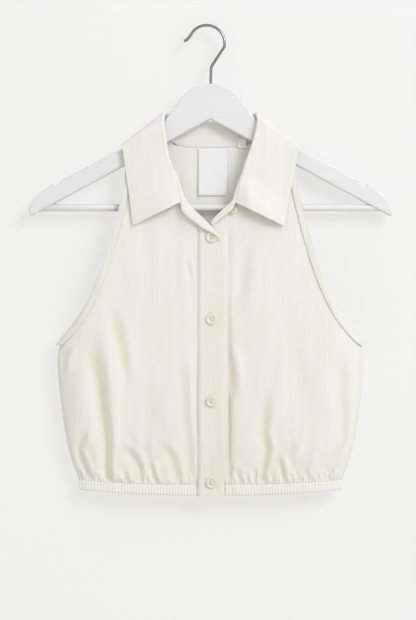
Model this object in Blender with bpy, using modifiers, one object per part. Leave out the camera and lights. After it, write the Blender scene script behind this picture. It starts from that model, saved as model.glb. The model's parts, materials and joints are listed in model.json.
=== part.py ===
"""Sleeveless button-front crop top with a pointed collar, hung on a white wooden hanger.

Run with: blender --background --python part.py

Every size below is in millimetres and becomes metres when a mesh is made.
The origin is the seat of the hook, where a rail carries it. +Z is up, the
front of the garment faces -Y, and +X is on the viewer's right.
"""

import bisect
import math
from collections import namedtuple

import bmesh
import bpy
from mathutils import Vector

MM = 0.001

# Cloth thicknesses, and the gap that pieces keep at a seam
PANEL_WALL = 1.2
COLLAR_WALL = 1.4
STAND_WALL = 1.6
STRIP_WALL = 1.2
BINDING_WALL = 1.0
BAND_WALL = 1.4
LABEL_WALL = 0.8
SEAM_GAP = 0.3
SIDE_SEAM_HALF_GAP = 0.25
HEM_SEAM_GAP = 0.9

# The shoulder, where the cloth goes over the hanger's arm
NECK_POINT_X = 62.6
NECK_POINT_Z = -119.2
SHOULDER_END_X = 102.8
SHOULDER_END_Z = -143.6
DROP_AT_NECK = 8.5
DROP_AT_END = 6.75
ARM_SQUARENESS = 3
BACK_NECK_Z = -146.0
BACK_NECK_POWER = 7
CROWN_LAST_ROW = 7
HEM_CURVE_ROW = 11
FRONT_COLUMNS = 30

# Side seams, front overlap and hem
SIDE_ROUNDNESS = 6
UNDERARM_ROW = 10
HEM_ROW = 15
HEM_HALF_WIDTH = 159.4
HEM_CENTRE_Z = -554.2
HEM_SIDE_RISE = 5.5
HEM_RISE_POWER = 2.4
UNDER_SET_BACK = 1.8
UNDER_SET_BACK_FULL_X = 22
UNDER_SET_BACK_END_X = 30

# Button strip
STRIP_LEFT_X = -15.5
STRIP_LIFT = 1.6
STRIP_LIFT_AT_BAND = 2.7
STRIP_TOP_ROW = 5.9
STRIP_BOTTOM_Z = -570.5

# Elastic hem band
BAND_HEIGHT_CENTRE = 13.5
BAND_HEIGHT_SIDE = 12.0
BAND_DEPTH_FRONT = 8.9
BAND_DEPTH_BACK = 7.6
RIBS_FRONT = 40
RIBS_BACK = 80
RIB_HEIGHT = 1.0
OVER_BAND_END_X = -14.2
UNDER_BAND_END_X = -13.6

# Armhole binding
BINDING_WIDTH = 8.0
BINDING_LIFT = 1.7

# Small gathers above the band
GATHER_LENGTH = 13.5
GATHER_DEPTH = 0.9
GATHER_REACH = 16.0
FLAT_HALF_WIDTH = 17.0
BACK_GATHER_SHIFT = 5.0

# How a fold starts and ends, and how creases hold where a panel thins towards an edge
FOLD_ONSET = 0.45
FOLD_TAIL = 12.0
CREASE_HOLD = 1.4

# Buttons
BUTTON_X = 1.0
BUTTON_FIRST_Z = -255.5
BUTTON_PITCH = 98.8
BUTTON_COUNT = 4
BUTTON_RADIUS = 6.9
BUTTON_STEPS = 20
STAND_BUTTON_AT = 31.0
STAND_BUTTON_OUT = 5.8
STAND_BUTTON_Y = -15.4
STAND_BUTTON_TILT = 39.0
STAND_BUTTON_SHARE = 0.7

# Half section of a button, from the middle of its face round the raised rim: radius and height
BUTTON_SECTION = [(0, 1.3), (4.4, 1.3), (5.4, 2.1), (6.4, 2.0), (BUTTON_RADIUS, 1.1), (6.0, 0.1), (0, 0)]

# Flat labels: left and right x, top and bottom z, top and bottom y
Label = namedtuple("Label", "name left right top bottom top_y bottom_y")
LABELS = [
    Label("neck_label", -15.0, 20.0, -146.6, -204.0, 7.5, 6.0),
    Label("size_tab", 33.0, 43.5, -134.0, -146.0, 8.0, 7.2),
]
LABEL_BOW = 0.5

# Collar fold
FOLD_RADIUS = 1.9
FOLD_START = 0.10
FOLD_END = 0.28
LAST_OPEN_STAND = 5.0
FIRST_COLLAR = 6

# Hanger
WOOD_HALF_THICKNESS = 6.0
WOOD_EDGE_ROUND = 2.2
HUMP_RADIUS = 46.0
HUMP_CENTRE_Z = -115.0
HUMP_END_ANGLE = 56.6
BAR_RADIUS = 4.5
BAR_Z = -219.2
BAR_END_X = 209.0
BORE_RADIUS = 4.8
BORE_START_X = 180.0
WIRE_RADIUS = 1.8
HOOK_RADIUS = 21.8
HOOK_CENTRE_X = -4.9
HOOK_CENTRE_Z = -19.3
HOOK_FIRST_ANGLE = -12
HOOK_LAST_ANGLE = 164
HOOK_ANGLE_STEP = 11

# Straight part of the hook below its arc and turned-out tip beyond it: x and z
HOOK_SHANK = [(0.2, -58.0), (0.6, -50.0), (1.8, -46.4), (4.0, -42.8), (13.4, -28.4)]
HOOK_TIP = [(-28.2, -14.4), (-30.2, -16.0), (-32.6, -16.7)]

# Half outline of both fronts, from the shoulder down: the armhole and side edge, and the two inner edges
Station = namedtuple("Station", "row outer_x outer_z over_x over_z under_x under_z")
STATIONS = [
    Station(0, 102.8, -150.35, -62.6, -127.7, 62.6, -127.7),
    Station(1, 103.0, -160.0, -61.5, -140.0, 61.0, -140.0),
    Station(2, 103.3, -170.0, -57.3, -156.0, 56.0, -156.0),
    Station(3, 103.6, -182.0, -52.0, -172.0, 50.0, -172.0),
    Station(4, 105.5, -196.0, -43.5, -189.0, 42.5, -188.0),
    Station(5, 108.5, -211.0, -34.0, -206.0, 34.0, -203.0),
    Station(6, 116.5, -243.0, -11.0, -236.0, 12.0, -230.0),
    Station(7, 127.5, -282.0, 12.5, -262.0, -11.0, -250.0),
    Station(8, 141.0, -320.0, 19.5, -300.0, -14.0, -285.0),
    Station(9, 161.0, -357.5, 20.4, -340.0, -14.5, -335.0),
    Station(10, 187.0, -389.5, 20.8, -378.0, -15.0, -378.0),
    Station(11, 186.0, -415.0, 20.7, -408.0, -15.0, -408.0),
    Station(12, 182.4, -452.0, 20.0, -450.0, -15.0, -450.0),
    Station(13, 176.4, -493.0, 18.8, -495.0, -15.0, -495.0),
    Station(14, 168.0, -527.0, 17.2, -531.0, -15.0, -531.0),
    Station(15, HEM_HALF_WIDTH, -548.7, 15.6, -554.2, -14.0, -554.2),
]

# How far the front and the back stand off the hanger's middle plane, from the hem up
Depth = namedtuple("Depth", "z front back")
DEPTHS = [
    Depth(-556.0, 9.4, 8.0),
    Depth(-548.0, 10.8, 9.0),
    Depth(-527.0, 15.0, 11.6),
    Depth(-493.0, 19.0, 13.0),
    Depth(-452.0, 20.0, 13.0),
    Depth(-415.0, 19.2, 12.6),
    Depth(-390.0, 17.8, 12.0),
    Depth(-357.0, 16.2, 11.2),
    Depth(-320.0, 14.3, 10.4),
    Depth(-282.0, 12.6, 9.8),
    Depth(-243.0, 11.3, 9.3),
    Depth(-211.0, 10.5, 9.0),
    Depth(-182.0, 9.9, 8.9),
    Depth(-150.0, 9.0, 9.4),
    Depth(-119.0, 8.6, 8.6),
]

# How much of the way the front and back have come together at the edge, by row
Closing = namedtuple("Closing", "row share")
CLOSINGS = [
    Closing(0, 0.0),
    Closing(7, 0.0),
    Closing(8, 0.1),
    Closing(9, 0.45),
    Closing(10, 1.0),
    Closing(15, 1.0),
]

# Long soft folds: a path through three points, the width of the trough and its depth (a ridge is negative)
Fold = namedtuple("Fold", "top_z top_x mid_z mid_x low_z low_x width depth")
FRONT_FOLDS = [
    Fold(-342.0, -136.0, -432.0, -131.0, -550.0, -118.0, 9.0, 2.4),
    Fold(-318.0, -116.0, -374.0, -105.0, -429.0, -99.0, 12.0, 1.3),
    Fold(-379.0, -165.0, -407.0, -175.0, -423.0, -179.0, 6.0, 1.0),
    Fold(-487.0, -152.0, -520.0, -154.0, -548.0, -144.0, 6.0, 1.5),
    Fold(-482.0, -100.0, -516.0, -91.0, -551.0, -82.5, 8.0, 1.7),
    Fold(-503.0, -70.0, -528.0, -72.0, -551.0, -64.0, 5.5, 1.6),
    Fold(-499.0, -52.0, -521.0, -42.0, -544.0, -39.0, 6.0, 1.3),
    Fold(-251.0, 46.0, -319.0, 41.0, -387.0, 30.0, 12.0, 1.4),
    Fold(-430.0, 64.0, -486.0, 69.0, -551.0, 65.0, 9.0, 2.4),
    Fold(-356.0, 112.0, -414.0, 115.0, -459.0, 119.0, 16.0, 1.2),
    Fold(-422.0, 157.0, -483.0, 162.0, -544.0, 146.0, 9.0, 1.9),
    Fold(-499.0, 103.0, -510.0, 99.0, -528.0, 95.0, 7.0, 1.2),
    Fold(-503.0, 128.0, -520.0, 124.5, -540.0, 121.0, 8.0, -1.4),
]
BACK_FOLDS = [
    Fold(-152.0, -5.0, -240.0, -5.5, -330.0, -5.0, 3.0, 0.7),
    Fold(-420.0, -128.0, -480.0, -134.0, -550.0, -127.0, 9.0, 1.8),
    Fold(-380.0, -92.0, -430.0, -88.0, -490.0, -90.0, 14.0, 1.2),
    Fold(-470.0, -70.0, -512.0, -62.0, -550.0, -66.0, 8.0, 1.6),
    Fold(-490.0, -24.0, -520.0, -30.0, -550.0, -27.0, 7.0, 1.4),
    Fold(-450.0, 16.0, -500.0, 22.0, -550.0, 18.0, 8.0, 1.5),
    Fold(-400.0, 60.0, -450.0, 66.0, -505.0, 62.0, 13.0, 1.3),
    Fold(-480.0, 92.0, -515.0, 86.0, -550.0, 90.0, 8.0, 1.7),
    Fold(-440.0, 138.0, -495.0, 142.0, -548.0, 133.0, 9.0, 1.8),
]

# Collar stand: its neck edge, the point that it leans towards and its top edge, from the end of the
# over side round the back of the neck. The rows before the first collar row are the open button end.
Stand = namedtuple("Stand", "at neck_x neck_y neck_z lean_x lean_y lean_z roll_x roll_y roll_z")
OVER_STAND = [
    Stand(0, 11.5, -17.6, -256.8, 15.0, -18.2, -255.0, 12.0, -18.2, -259.0),
    Stand(1, 5.0, -17.6, -250.0, 7.9, -18.3, -246.8, 3.5, -18.6, -251.6),
    Stand(2, -4.0, -15.8, -241.8, 1.2, -17.8, -237.6, -8.9, -18.2, -245.8),
    Stand(3, -12.0, -14.6, -234.6, -6.2, -17.6, -229.0, -17.0, -17.8, -239.5),
    Stand(4, -21.5, -13.8, -226.0, -15.0, -17.4, -219.4, -27.0, -17.4, -232.5),
    Stand(5, -28.5, -13.4, -218.5, -21.6, -17.2, -212.7, -35.0, -17.4, -224.0),
    Stand(6, -33.0, -13.2, -211.5, -26.0, -17.2, -206.6, -39.1, -18.2, -215.6),
    Stand(7, -40.0, -12.8, -196.5, -32.5, -16.5, -193.5, -41.7, -18.0, -195.3),
    Stand(8, -49.0, -12.4, -178.0, -40.0, -14.6, -175.8, -46.5, -18.2, -174.7),
    Stand(9, -57.5, -11.8, -160.0, -51.2, -11.8, -160.0, -50.9, -17.2, -156.6),
    Stand(10, -61.2, -11.0, -142.0, -56.2, -12.0, -140.4, -52.6, -14.6, -137.6),
    Stand(11, -61.6, -10.9, -127.0, -58.3, -10.8, -121.0, -55.6, -11.6, -117.0),
    Stand(12, -61.6, -7.9, -118.8, -58.5, -6.8, -113.5, -55.0, -7.2, -107.5),
    Stand(13, -61.4, 0.0, -116.6, -58.3, 0.0, -110.0, -54.2, 0.0, -103.4),
    Stand(13.6, -61.4, 6.6, -117.6, -58.0, 6.4, -110.8, -53.6, 6.2, -103.4),
    Stand(14, -60.4, 8.4, -120.8, -57.2, 8.0, -114.0, -52.6, 7.6, -104.0),
    Stand(15, -56.4, 9.6, -130.4, -52.0, 9.6, -117.5, -47.5, 9.4, -107.0),
    Stand(16, -40.0, 9.9, -144.4, -37.0, 10.0, -127.0, -33.0, 10.0, -110.6),
    Stand(17, -20.0, 10.0, -145.4, -18.5, 10.2, -129.0, -16.5, 10.2, -112.8),
    Stand(18, 0.0, 10.0, -145.6, 0.0, 10.2, -129.5, 0.0, 10.3, -113.6),
]
BACK_STAND_ROWS = (13.6, 17)
UNDER_STAND = [
    Stand(23, 61.4, 0.0, -116.6, 58.3, 0.0, -110.0, 54.4, 0.0, -103.4),
    Stand(24, 61.6, -7.9, -118.8, 58.5, -6.8, -113.5, 54.8, -7.2, -107.5),
    Stand(25, 61.4, -10.9, -127.0, 58.0, -10.8, -121.0, 55.4, -11.6, -116.5),
    Stand(26, 57.5, -11.0, -145.0, 52.6, -12.0, -145.0, 49.8, -15.0, -141.0),
    Stand(27, 50.5, -11.9, -164.0, 42.0, -13.4, -164.0, 45.0, -16.8, -158.0),
    Stand(28, 42.0, -12.3, -181.0, 33.5, -15.0, -184.0, 40.0, -17.6, -177.0),
    Stand(29, 34.5, -12.6, -198.5, 27.0, -16.2, -200.5, 36.0, -17.2, -196.0),
    Stand(30, 29.1, -12.9, -213.3, 23.2, -16.8, -208.9, 32.2, -17.4, -215.6),
    Stand(31, 23.6, -12.8, -218.7, 17.7, -16.5, -212.8, 26.7, -16.6, -221.8),
    Stand(32, 14.2, -12.4, -227.2, 7.1, -15.5, -222.8, 18.0, -15.2, -229.5),
    Stand(33, 6.2, -12.2, -233.7, 1.0, -14.0, -230.3, 9.0, -13.8, -235.5),
    Stand(34, 0.6, -11.8, -239.4, -2.9, -12.6, -235.4, 2.5, -12.4, -241.5),
]

# Collar fall: the point that it turns towards and its free edge, at the stand's rows
Fall = namedtuple("Fall", "at turn_x turn_y turn_z edge_x edge_y edge_z")
OVER_FALL = [
    Fall(6, -50.0, -20.5, -221.0, -94.0, -14.2, -241.9),
    Fall(7, -53.0, -20.5, -203.0, -97.0, -14.6, -218.0),
    Fall(8, -57.0, -19.5, -182.0, -100.0, -14.6, -195.0),
    Fall(9, -61.0, -18.0, -163.5, -103.0, -14.0, -173.0),
    Fall(10, -62.5, -15.5, -144.0, -105.4, -13.0, -157.5),
    Fall(11, -65.5, -13.4, -121.5, -106.6, -12.8, -148.0),
    Fall(11.5, -66.2, -12.0, -116.8, -106.8, -12.4, -144.8),
    Fall(12, -66.0, -7.6, -113.0, -106.8, -9.0, -142.4),
    Fall(13, -66.0, 0.0, -111.0, -106.6, 0.0, -142.2),
    Fall(13.6, -65.0, 8.0, -110.0, -106.4, 6.6, -142.8),
    Fall(14, -63.0, 11.2, -109.0, -105.6, 11.6, -144.2),
    Fall(15, -56.0, 14.0, -107.5, -100.0, 13.0, -151.0),
    Fall(16, -36.0, 16.5, -108.5, -67.0, 14.5, -160.5),
    Fall(17, -17.5, 17.0, -110.5, -33.0, 15.3, -165.5),
    Fall(18, 0.0, 17.2, -111.2, 0.0, 15.6, -167.5),
]
UNDER_FALL = [
    Fall(23, 66.0, 0.0, -111.0, 105.8, 0.0, -142.0),
    Fall(24, 66.0, -7.6, -113.0, 106.0, -9.0, -142.2),
    Fall(24.5, 66.0, -12.0, -116.8, 106.0, -12.7, -145.0),
    Fall(25, 65.0, -13.4, -121.5, 105.6, -13.5, -149.5),
    Fall(26, 60.0, -15.5, -146.5, 103.8, -13.3, -159.0),
    Fall(27, 56.0, -18.2, -165.0, 101.0, -13.4, -175.0),
    Fall(28, 51.0, -19.0, -183.0, 97.5, -13.4, -196.0),
    Fall(29, 47.0, -19.0, -203.0, 93.0, -13.4, -219.0),
    Fall(30, 43.0, -19.5, -221.0, 88.6, -13.4, -242.7),
]

# Hanger: right half of the top edge from the end of the hump out, then the shoulder notch and the tip
NECK_OF_HANGER = [(46.9, -101.7), (50.0, -106.5), (55.4, -113.6), (59.5, -121.4), (64.0, -126.8),
                  (70.0, -130.2), (76.0, -131.8)]
NOTCH_AND_TIP = [(181.2, -186.1), (184.3, -191.6), (188.0, -192.4), (191.4, -190.6), (200.0, -195.8),
                 (208.6, -202.6), (214.5, -209.4), (218.8, -216.4), (220.5, -223.2), (219.6, -228.3),
                 (216.2, -228.6)]
UNDERSIDE_APEX_Z = -111.9

WHITE_CLOTH = (0.86, 0.83, 0.74)
BAND_CLOTH = (0.84, 0.80, 0.70)
BUTTON_CREAM = (0.82, 0.76, 0.62)
LABEL_WHITE = (0.90, 0.90, 0.90)
PAINTED_WOOD = (0.90, 0.90, 0.90)
STEEL = (0.60, 0.60, 0.60)


def ease(value):
    """Go smoothly from 0 to 1 as the value goes from 0 to 1, and stay level outside."""
    value = min(max(value, 0.0), 1.0)
    return value * value * (3 - 2 * value)


def blend(start, end, share):
    return start + (end - start) * share


def slope_between(before, after):
    """The slope of a curve where two straight stretches meet, without overshoot."""
    if before * after <= 0:
        return 0.0
    mean = (before + after) / 2
    limit = 3 * min(abs(before), abs(after))
    return math.copysign(min(abs(mean), limit), mean)


def read(rows, at):
    """Read a table between its rows on a smooth curve. The first column is the key, in rising order."""
    keys = [row[0] for row in rows]
    low = min(max(bisect.bisect_right(keys, at) - 1, 0), len(rows) - 2)
    gap = keys[low + 1] - keys[low]
    share = (at - keys[low]) / gap
    values = [at]
    for column in range(1, len(rows[0])):
        slopes = []
        for step in (low - 1, low, low + 1):
            first = min(max(step, 0), len(rows) - 2)
            rise = rows[first + 1][column] - rows[first][column]
            slopes.append(rise / (keys[first + 1] - keys[first]))
        start_slope = slope_between(slopes[0], slopes[1]) * gap
        end_slope = slope_between(slopes[1], slopes[2]) * gap
        start = rows[low][column]
        end = rows[low + 1][column]
        bend = 3 * (end - start) - 2 * start_slope - end_slope
        twist = start_slope + end_slope - 2 * (end - start)
        values.append(start + share * (start_slope + share * (bend + share * twist)))
    return type(rows[0])(*values)


def fold_depth(folds, x, z):
    """How far the long folds press the cloth inwards at a point."""
    depth = 0.0
    for fold in folds:
        if not fold.low_z - FOLD_TAIL < z < fold.top_z:
            continue
        share = (fold.top_z - z) / (fold.top_z - fold.low_z)
        middle = (fold.top_z - fold.mid_z) / (fold.top_z - fold.low_z)
        straight = blend(fold.top_x, fold.low_x, share)
        bulge = fold.mid_x - blend(fold.top_x, fold.low_x, middle)
        path_x = straight + bulge * share * (1 - share) / (middle * (1 - middle))
        strength = ease(share / FOLD_ONSET) * ease((z - fold.low_z) / FOLD_TAIL + 1)
        depth += fold.depth * strength * math.exp(-((x - path_x) / fold.width) ** 2)
    return depth


def hem_line(x):
    """Height of the seam between the cloth and the elastic band, which rises towards the sides."""
    return HEM_CENTRE_Z + HEM_SIDE_RISE * (abs(x) / HEM_HALF_WIDTH) ** HEM_RISE_POWER


def gather_depth(x, z):
    """Short uneven gathers where the cloth is drawn into the band."""
    height = max(z - hem_line(x), 0.0)
    wave = math.sin(2 * math.pi * x / GATHER_LENGTH + 1.1 * math.sin(x / 19))
    uneven = 0.65 + 0.35 * math.sin(x / 13 + 2)
    clear_of_strip = ease((abs(x) - FLAT_HALF_WIDTH) / 10)
    return GATHER_DEPTH * uneven * wave * clear_of_strip * math.exp(-height / GATHER_REACH)


def shoulder_line(x):
    """Top edge of both fronts and of the back outside the neck: height, and the drop to the flat face."""
    share = min(max((abs(x) - NECK_POINT_X) / (SHOULDER_END_X - NECK_POINT_X), 0.0), 1.0)
    return blend(NECK_POINT_Z, SHOULDER_END_Z, share), blend(DROP_AT_NECK, DROP_AT_END, share)


def over_the_arm(x, z):
    """Share of the full depth that is left where the cloth rounds over the hanger's arm."""
    top, drop = shoulder_line(x)
    height = (z - (top - drop)) / drop
    return max(1 - max(height, 0.0) ** ARM_SQUARENESS, 0.0) ** (1 / ARM_SQUARENESS)


def side_share(outward, row):
    """Share of the full depth that is left towards the side seam."""
    closing = min(max(read(CLOSINGS, row).share, 0.0), 1.0)
    rounded = math.sqrt(max(1 - min(outward, 1.0) ** SIDE_ROUNDNESS, 0.0))
    return 1 - closing * (1 - rounded)


def front_point(side, inward, row):
    """A point on a front panel: side -1 is the over front, and inward goes from 0 at its outer edge to 1."""
    station = read(STATIONS, max(row, 0.0))
    if side < 0:
        inner_x, inner_z = station.over_x, station.over_z
    else:
        inner_x, inner_z = station.under_x, station.under_z
    outward = 1 - inward
    x = blend(inner_x, side * station.outer_x, outward)
    sag = 1 + 1.2 * ease((row - 13) / 2)
    z = blend(inner_z, station.outer_z, max(outward, 0.0) ** sag)
    if row < 0:
        drop = shoulder_line(x)[1]
        z += drop * math.sin(-row * math.pi / 2)
    return x, front_depth(side, x, z, outward, row), z


def under_set_back(x):
    """How far the under front lies behind the over front where they overlap."""
    beyond = (x - UNDER_SET_BACK_FULL_X) / (UNDER_SET_BACK_END_X - UNDER_SET_BACK_FULL_X)
    return UNDER_SET_BACK * (1 - ease(beyond))


def stand_off(full_depth, shape, creases):
    """How far a panel stands off the middle plane, with its creases faded where it closes at an edge."""
    return SIDE_SEAM_HALF_GAP + max(full_depth * shape - creases * min(shape * CREASE_HOLD, 1.0), 0.0)


def front_depth(side, x, z, outward, row):
    """The y of a front panel: full depth, less at the shoulder and the side, with folds and gathers."""
    shape = over_the_arm(x, z) * side_share(outward, row)
    creases = fold_depth(FRONT_FOLDS, x, z) + gather_depth(x, z)
    if side > 0:
        creases += under_set_back(x)
    return -stand_off(read(DEPTHS, z).front, shape, creases)


def over_front(along, row):
    return Vector(front_point(-1, 1 - along, row))


def under_front(along, row):
    return Vector(front_point(1, along, row))


def back_top(x):
    """Top edge of the back: the shoulder seams and the neckline between them."""
    if abs(x) >= NECK_POINT_X:
        return shoulder_line(x)[0]
    return blend(BACK_NECK_Z, NECK_POINT_Z, (abs(x) / NECK_POINT_X) ** BACK_NECK_POWER)


def back_surface(along, row):
    """The back in one piece: along goes from -1 on the viewer's left to 1."""
    station = read(STATIONS, max(row, 0.0))
    x = along * station.outer_x
    outward = min(abs(along), 1.0)
    top_x = along * SHOULDER_END_X
    drop = shoulder_line(top_x)[1]
    crown = back_top(top_x) - drop - (SHOULDER_END_Z - DROP_AT_END)
    z = station.outer_z + crown * (1 - ease(row / CROWN_LAST_ROW))
    below_edge = hem_line(x) - hem_line(station.outer_x)
    z += below_edge * ease((row - HEM_CURVE_ROW) / (HEM_ROW - HEM_CURVE_ROW))
    if row < 0:
        z += drop * math.sin(-row * math.pi / 2)
    shape = over_the_arm(x, z) * side_share(outward, row)
    creases = fold_depth(BACK_FOLDS, x, z) + gather_depth(x + BACK_GATHER_SHIFT, z)
    return Vector((x, stand_off(read(DEPTHS, z).back, shape, creases), z))


def band_surface(x, share, deep):
    """The hem band at a share of its height, as deep as given: forwards if that is less than 0."""
    outward = min(abs(x) / HEM_HALF_WIDTH, 1.0)
    height = blend(BAND_HEIGHT_CENTRE, BAND_HEIGHT_SIDE, outward)
    z = hem_line(x) - HEM_SEAM_GAP - share * height
    y = deep * math.sqrt(max(1 - outward ** SIDE_ROUNDNESS, 0.0))
    return Vector((x, math.copysign(max(abs(y), 3 * SIDE_SEAM_HALF_GAP), deep), z))


def over_band(along, share):
    return band_surface(blend(OVER_BAND_END_X, -HEM_HALF_WIDTH, along), share, -BAND_DEPTH_FRONT)


def under_band(along, share):
    x = blend(HEM_HALF_WIDTH, UNDER_BAND_END_X, along)
    return band_surface(x, share, under_set_back(x) - BAND_DEPTH_FRONT)


def back_band(along, share):
    return band_surface(blend(-HEM_HALF_WIDTH, HEM_HALF_WIDTH, along), share, BAND_DEPTH_BACK)


def strip_surface(along, row):
    """The button strip, made from the over front's points, and let down past the hem band."""
    station = read(STATIONS, min(row, HEM_ROW))
    x = blend(station.over_x, STRIP_LEFT_X, along)
    outward = (x - station.over_x) / (-station.outer_x - station.over_x)
    point = over_front(outward, min(row, HEM_ROW))
    lift = blend(STRIP_LIFT, STRIP_LIFT_AT_BAND, ease(row - 14))
    y = front_depth(-1, x, point.z, outward, min(row, HEM_ROW)) + gather_depth(x, point.z)
    if row > HEM_ROW:
        point.z = blend(point.z, STRIP_BOTTOM_Z, row - HEM_ROW)
        y = blend(y, -BAND_DEPTH_FRONT, (row - HEM_ROW) / 2)
    return Vector((x, y - lift, point.z))


def binding_surface(panel, width_at_edge):
    """A narrow strip that follows a panel's armhole edge. The panel is read from its outer edge inwards."""
    def surface(along, row):
        station = read(STATIONS, max(row, 0.0))
        ahead = read(STATIONS, max(row, 0.0) + 0.05)
        run = math.hypot(ahead.outer_x - station.outer_x, ahead.outer_z - station.outer_z)
        level = abs(ahead.outer_z - station.outer_z) / run
        width = BINDING_WIDTH / max(level, 0.5)
        return panel(width_at_edge(along * width, station), row)
    return surface


def stand_rows():
    """All of the stand's sections in order, with the back's right half mirrored from its left."""
    first, last = BACK_STAND_ROWS
    right = [
        Stand(36 - row.at, -row.neck_x, row.neck_y, row.neck_z, -row.lean_x, row.lean_y, row.lean_z,
              -row.roll_x, row.roll_y, row.roll_z)
        for row in OVER_STAND if first <= row.at <= last
    ]
    return OVER_STAND + right[::-1] + UNDER_STAND


def fall_rows():
    first, last = BACK_STAND_ROWS
    right = [
        Fall(36 - row.at, -row.turn_x, row.turn_y, row.turn_z, -row.edge_x, row.edge_y, row.edge_z)
        for row in OVER_FALL if first <= row.at <= last
    ]
    return OVER_FALL + right[::-1] + UNDER_FALL


STAND_ROWS = stand_rows()
FALL_ROWS = fall_rows()


def stand_section(at):
    row = read(STAND_ROWS, at)
    neck = Vector((row.neck_x, row.neck_y, row.neck_z))
    lean = Vector((row.lean_x, row.lean_y, row.lean_z))
    roll = Vector((row.roll_x, row.roll_y, row.roll_z))
    return neck, lean, roll


def fold_allowance(at):
    """How far below the roll line the stand ends, where the collar is sewn to it."""
    from_over_end = ease((at - LAST_OPEN_STAND) / 0.9)
    from_under_end = ease((31 - at) / 0.9)
    return (FOLD_RADIUS + 1.1) * from_over_end * from_under_end


def stand_surface(at, height):
    neck, lean, roll = stand_section(at)
    top = roll - (roll - lean).normalized() * fold_allowance(at)
    return neck * (1 - height) ** 2 + lean * 2 * height * (1 - height) + top * height ** 2


def collar_surface(at, down):
    """The collar: up from the stand, over a small round fold and down to its free edge."""
    lean, roll = stand_section(at)[1:]
    fall = read(FALL_ROWS, at)
    turn = Vector((fall.turn_x, fall.turn_y, fall.turn_z))
    edge = Vector((fall.edge_x, fall.edge_y, fall.edge_z))
    rising = (roll - lean).normalized()
    start = roll - rising * (fold_allowance(FIRST_COLLAR) - 3 * SEAM_GAP)
    foot = roll - rising * FOLD_RADIUS
    if down < FOLD_START:
        return start.lerp(foot, down / FOLD_START)
    leaving = (turn - roll).normalized()
    outward = (leaving - rising * leaving.dot(rising)).normalized()
    angle = math.acos(min(max(leaving.dot(rising), -1.0), 1.0))
    turned = angle * min((down - FOLD_START) / (FOLD_END - FOLD_START), 1.0)
    point = foot + outward * FOLD_RADIUS * (1 - math.cos(turned)) + rising * FOLD_RADIUS * math.sin(turned)
    if down <= FOLD_END:
        return point
    share = (down - FOLD_END) / (1 - FOLD_END)
    return point * (1 - share) ** 2 + turn * 2 * share * (1 - share) + edge * share ** 2


def label_surface(label):
    """A small flat label that hangs from its top edge and comes slightly forward."""
    def surface(along, down):
        bow = LABEL_BOW * math.sin(math.pi * along)
        y = blend(label.top_y, label.bottom_y, down * abs(down)) + bow * down
        return Vector((blend(label.left, label.right, along), y, blend(label.top, label.bottom, down)))
    return surface


def finish(item, colour, roughness, metallic=0.0):
    """Put an object in the garment's collection and give it a material of its own."""
    material = bpy.data.materials.new(item.name + "_finish")
    material.use_nodes = True
    shader = material.node_tree.nodes["Principled BSDF"]
    shader.inputs["Base Color"].default_value = (*colour, 1.0)
    shader.inputs["Roughness"].default_value = roughness
    shader.inputs["Metallic"].default_value = metallic
    item.data.materials.clear()
    item.data.materials.append(material)
    return item


def object_from(mesh, name, collection):
    """Turn a bmesh into a smooth-shaded object."""
    data = bpy.data.meshes.new(name)
    mesh.to_mesh(data)
    mesh.free()
    data.shade_smooth()
    data.set_sharp_from_angle(angle=math.radians(50))
    item = bpy.data.objects.new(name, data)
    collection.objects.link(item)
    return item


def offset_from(surface, along, down, distance, columns, rows):
    """The point at a distance from a surface, along its normal, read no further than the surface's edges."""
    step = 0.001
    left, right = max(along - step, columns[0]), min(along + step, columns[-1])
    above, below = max(down - step, rows[0]), min(down + step, rows[-1])
    across = surface(right, down) - surface(left, down)
    downwards = surface(along, below) - surface(along, above)
    return surface(along, down) + across.cross(downwards).normalized() * distance


def cloth_wall(name, surface, columns, rows, wall, collection, raised=None):
    """A closed wall of cloth on both sides of a surface, read at the given columns and rows."""
    mesh = bmesh.new()
    across, down = len(columns) - 1, len(rows) - 1
    bmesh.ops.create_grid(mesh, x_segments=across, y_segments=down, size=0.5)
    lifted = bmesh.ops.extrude_face_region(mesh, geom=mesh.faces[:], use_keep_orig=True)
    outer = {item for item in lifted["geom"] if isinstance(item, bmesh.types.BMVert)}
    for point in mesh.verts:
        column = round((point.co.x + 0.5) * across)
        row = round((point.co.y + 0.5) * down)
        distance = -wall / 2
        if point in outer:
            distance = wall / 2 + (raised(column) if raised else 0.0)
        point.co = offset_from(surface, columns[column], rows[row], distance, columns, rows) * MM
    bmesh.ops.recalc_face_normals(mesh, faces=mesh.faces[:])
    if mesh.calc_volume(signed=True) < 0:
        bmesh.ops.reverse_faces(mesh, faces=mesh.faces[:])
    return object_from(mesh, name, collection)


def steps(start, end, count):
    return [blend(start, end, index / count) for index in range(count + 1)]


def crowded(count, power):
    """Shares from 0 to 1 that stand closer together towards 1."""
    return [1 - (1 - share) ** power for share in steps(0, 1, count)]


PANEL_ROWS = steps(-1, 0, 3) + steps(0, 7, 5)[1:] + steps(7, UNDERARM_ROW, 5)[1:]
PANEL_ROWS += steps(UNDERARM_ROW, 13, 2)[1:] + steps(13, HEM_ROW, 5)[1:]


def make_panels(collection):
    outward = crowded(FRONT_COLUMNS, 1.25)
    inward = [1 - share for share in reversed(outward)]
    over = cloth_wall("front_right", over_front, outward, PANEL_ROWS, PANEL_WALL, collection)
    under = cloth_wall("front_left", under_front, inward, PANEL_ROWS, PANEL_WALL, collection)
    neck_share = NECK_POINT_X / SHOULDER_END_X
    half = steps(0, neck_share - 0.05, 9)[:-1] + [neck_share - 0.05, neck_share - 0.02, neck_share]
    half += [blend(neck_share, 1, share) for share in crowded(8, 1.4)][1:]
    columns = [-share for share in reversed(half)] + half[1:]
    back = cloth_wall("back", back_surface, columns, PANEL_ROWS, PANEL_WALL, collection)
    for panel in (over, under, back):
        finish(panel, WHITE_CLOTH, 0.85)


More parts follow.
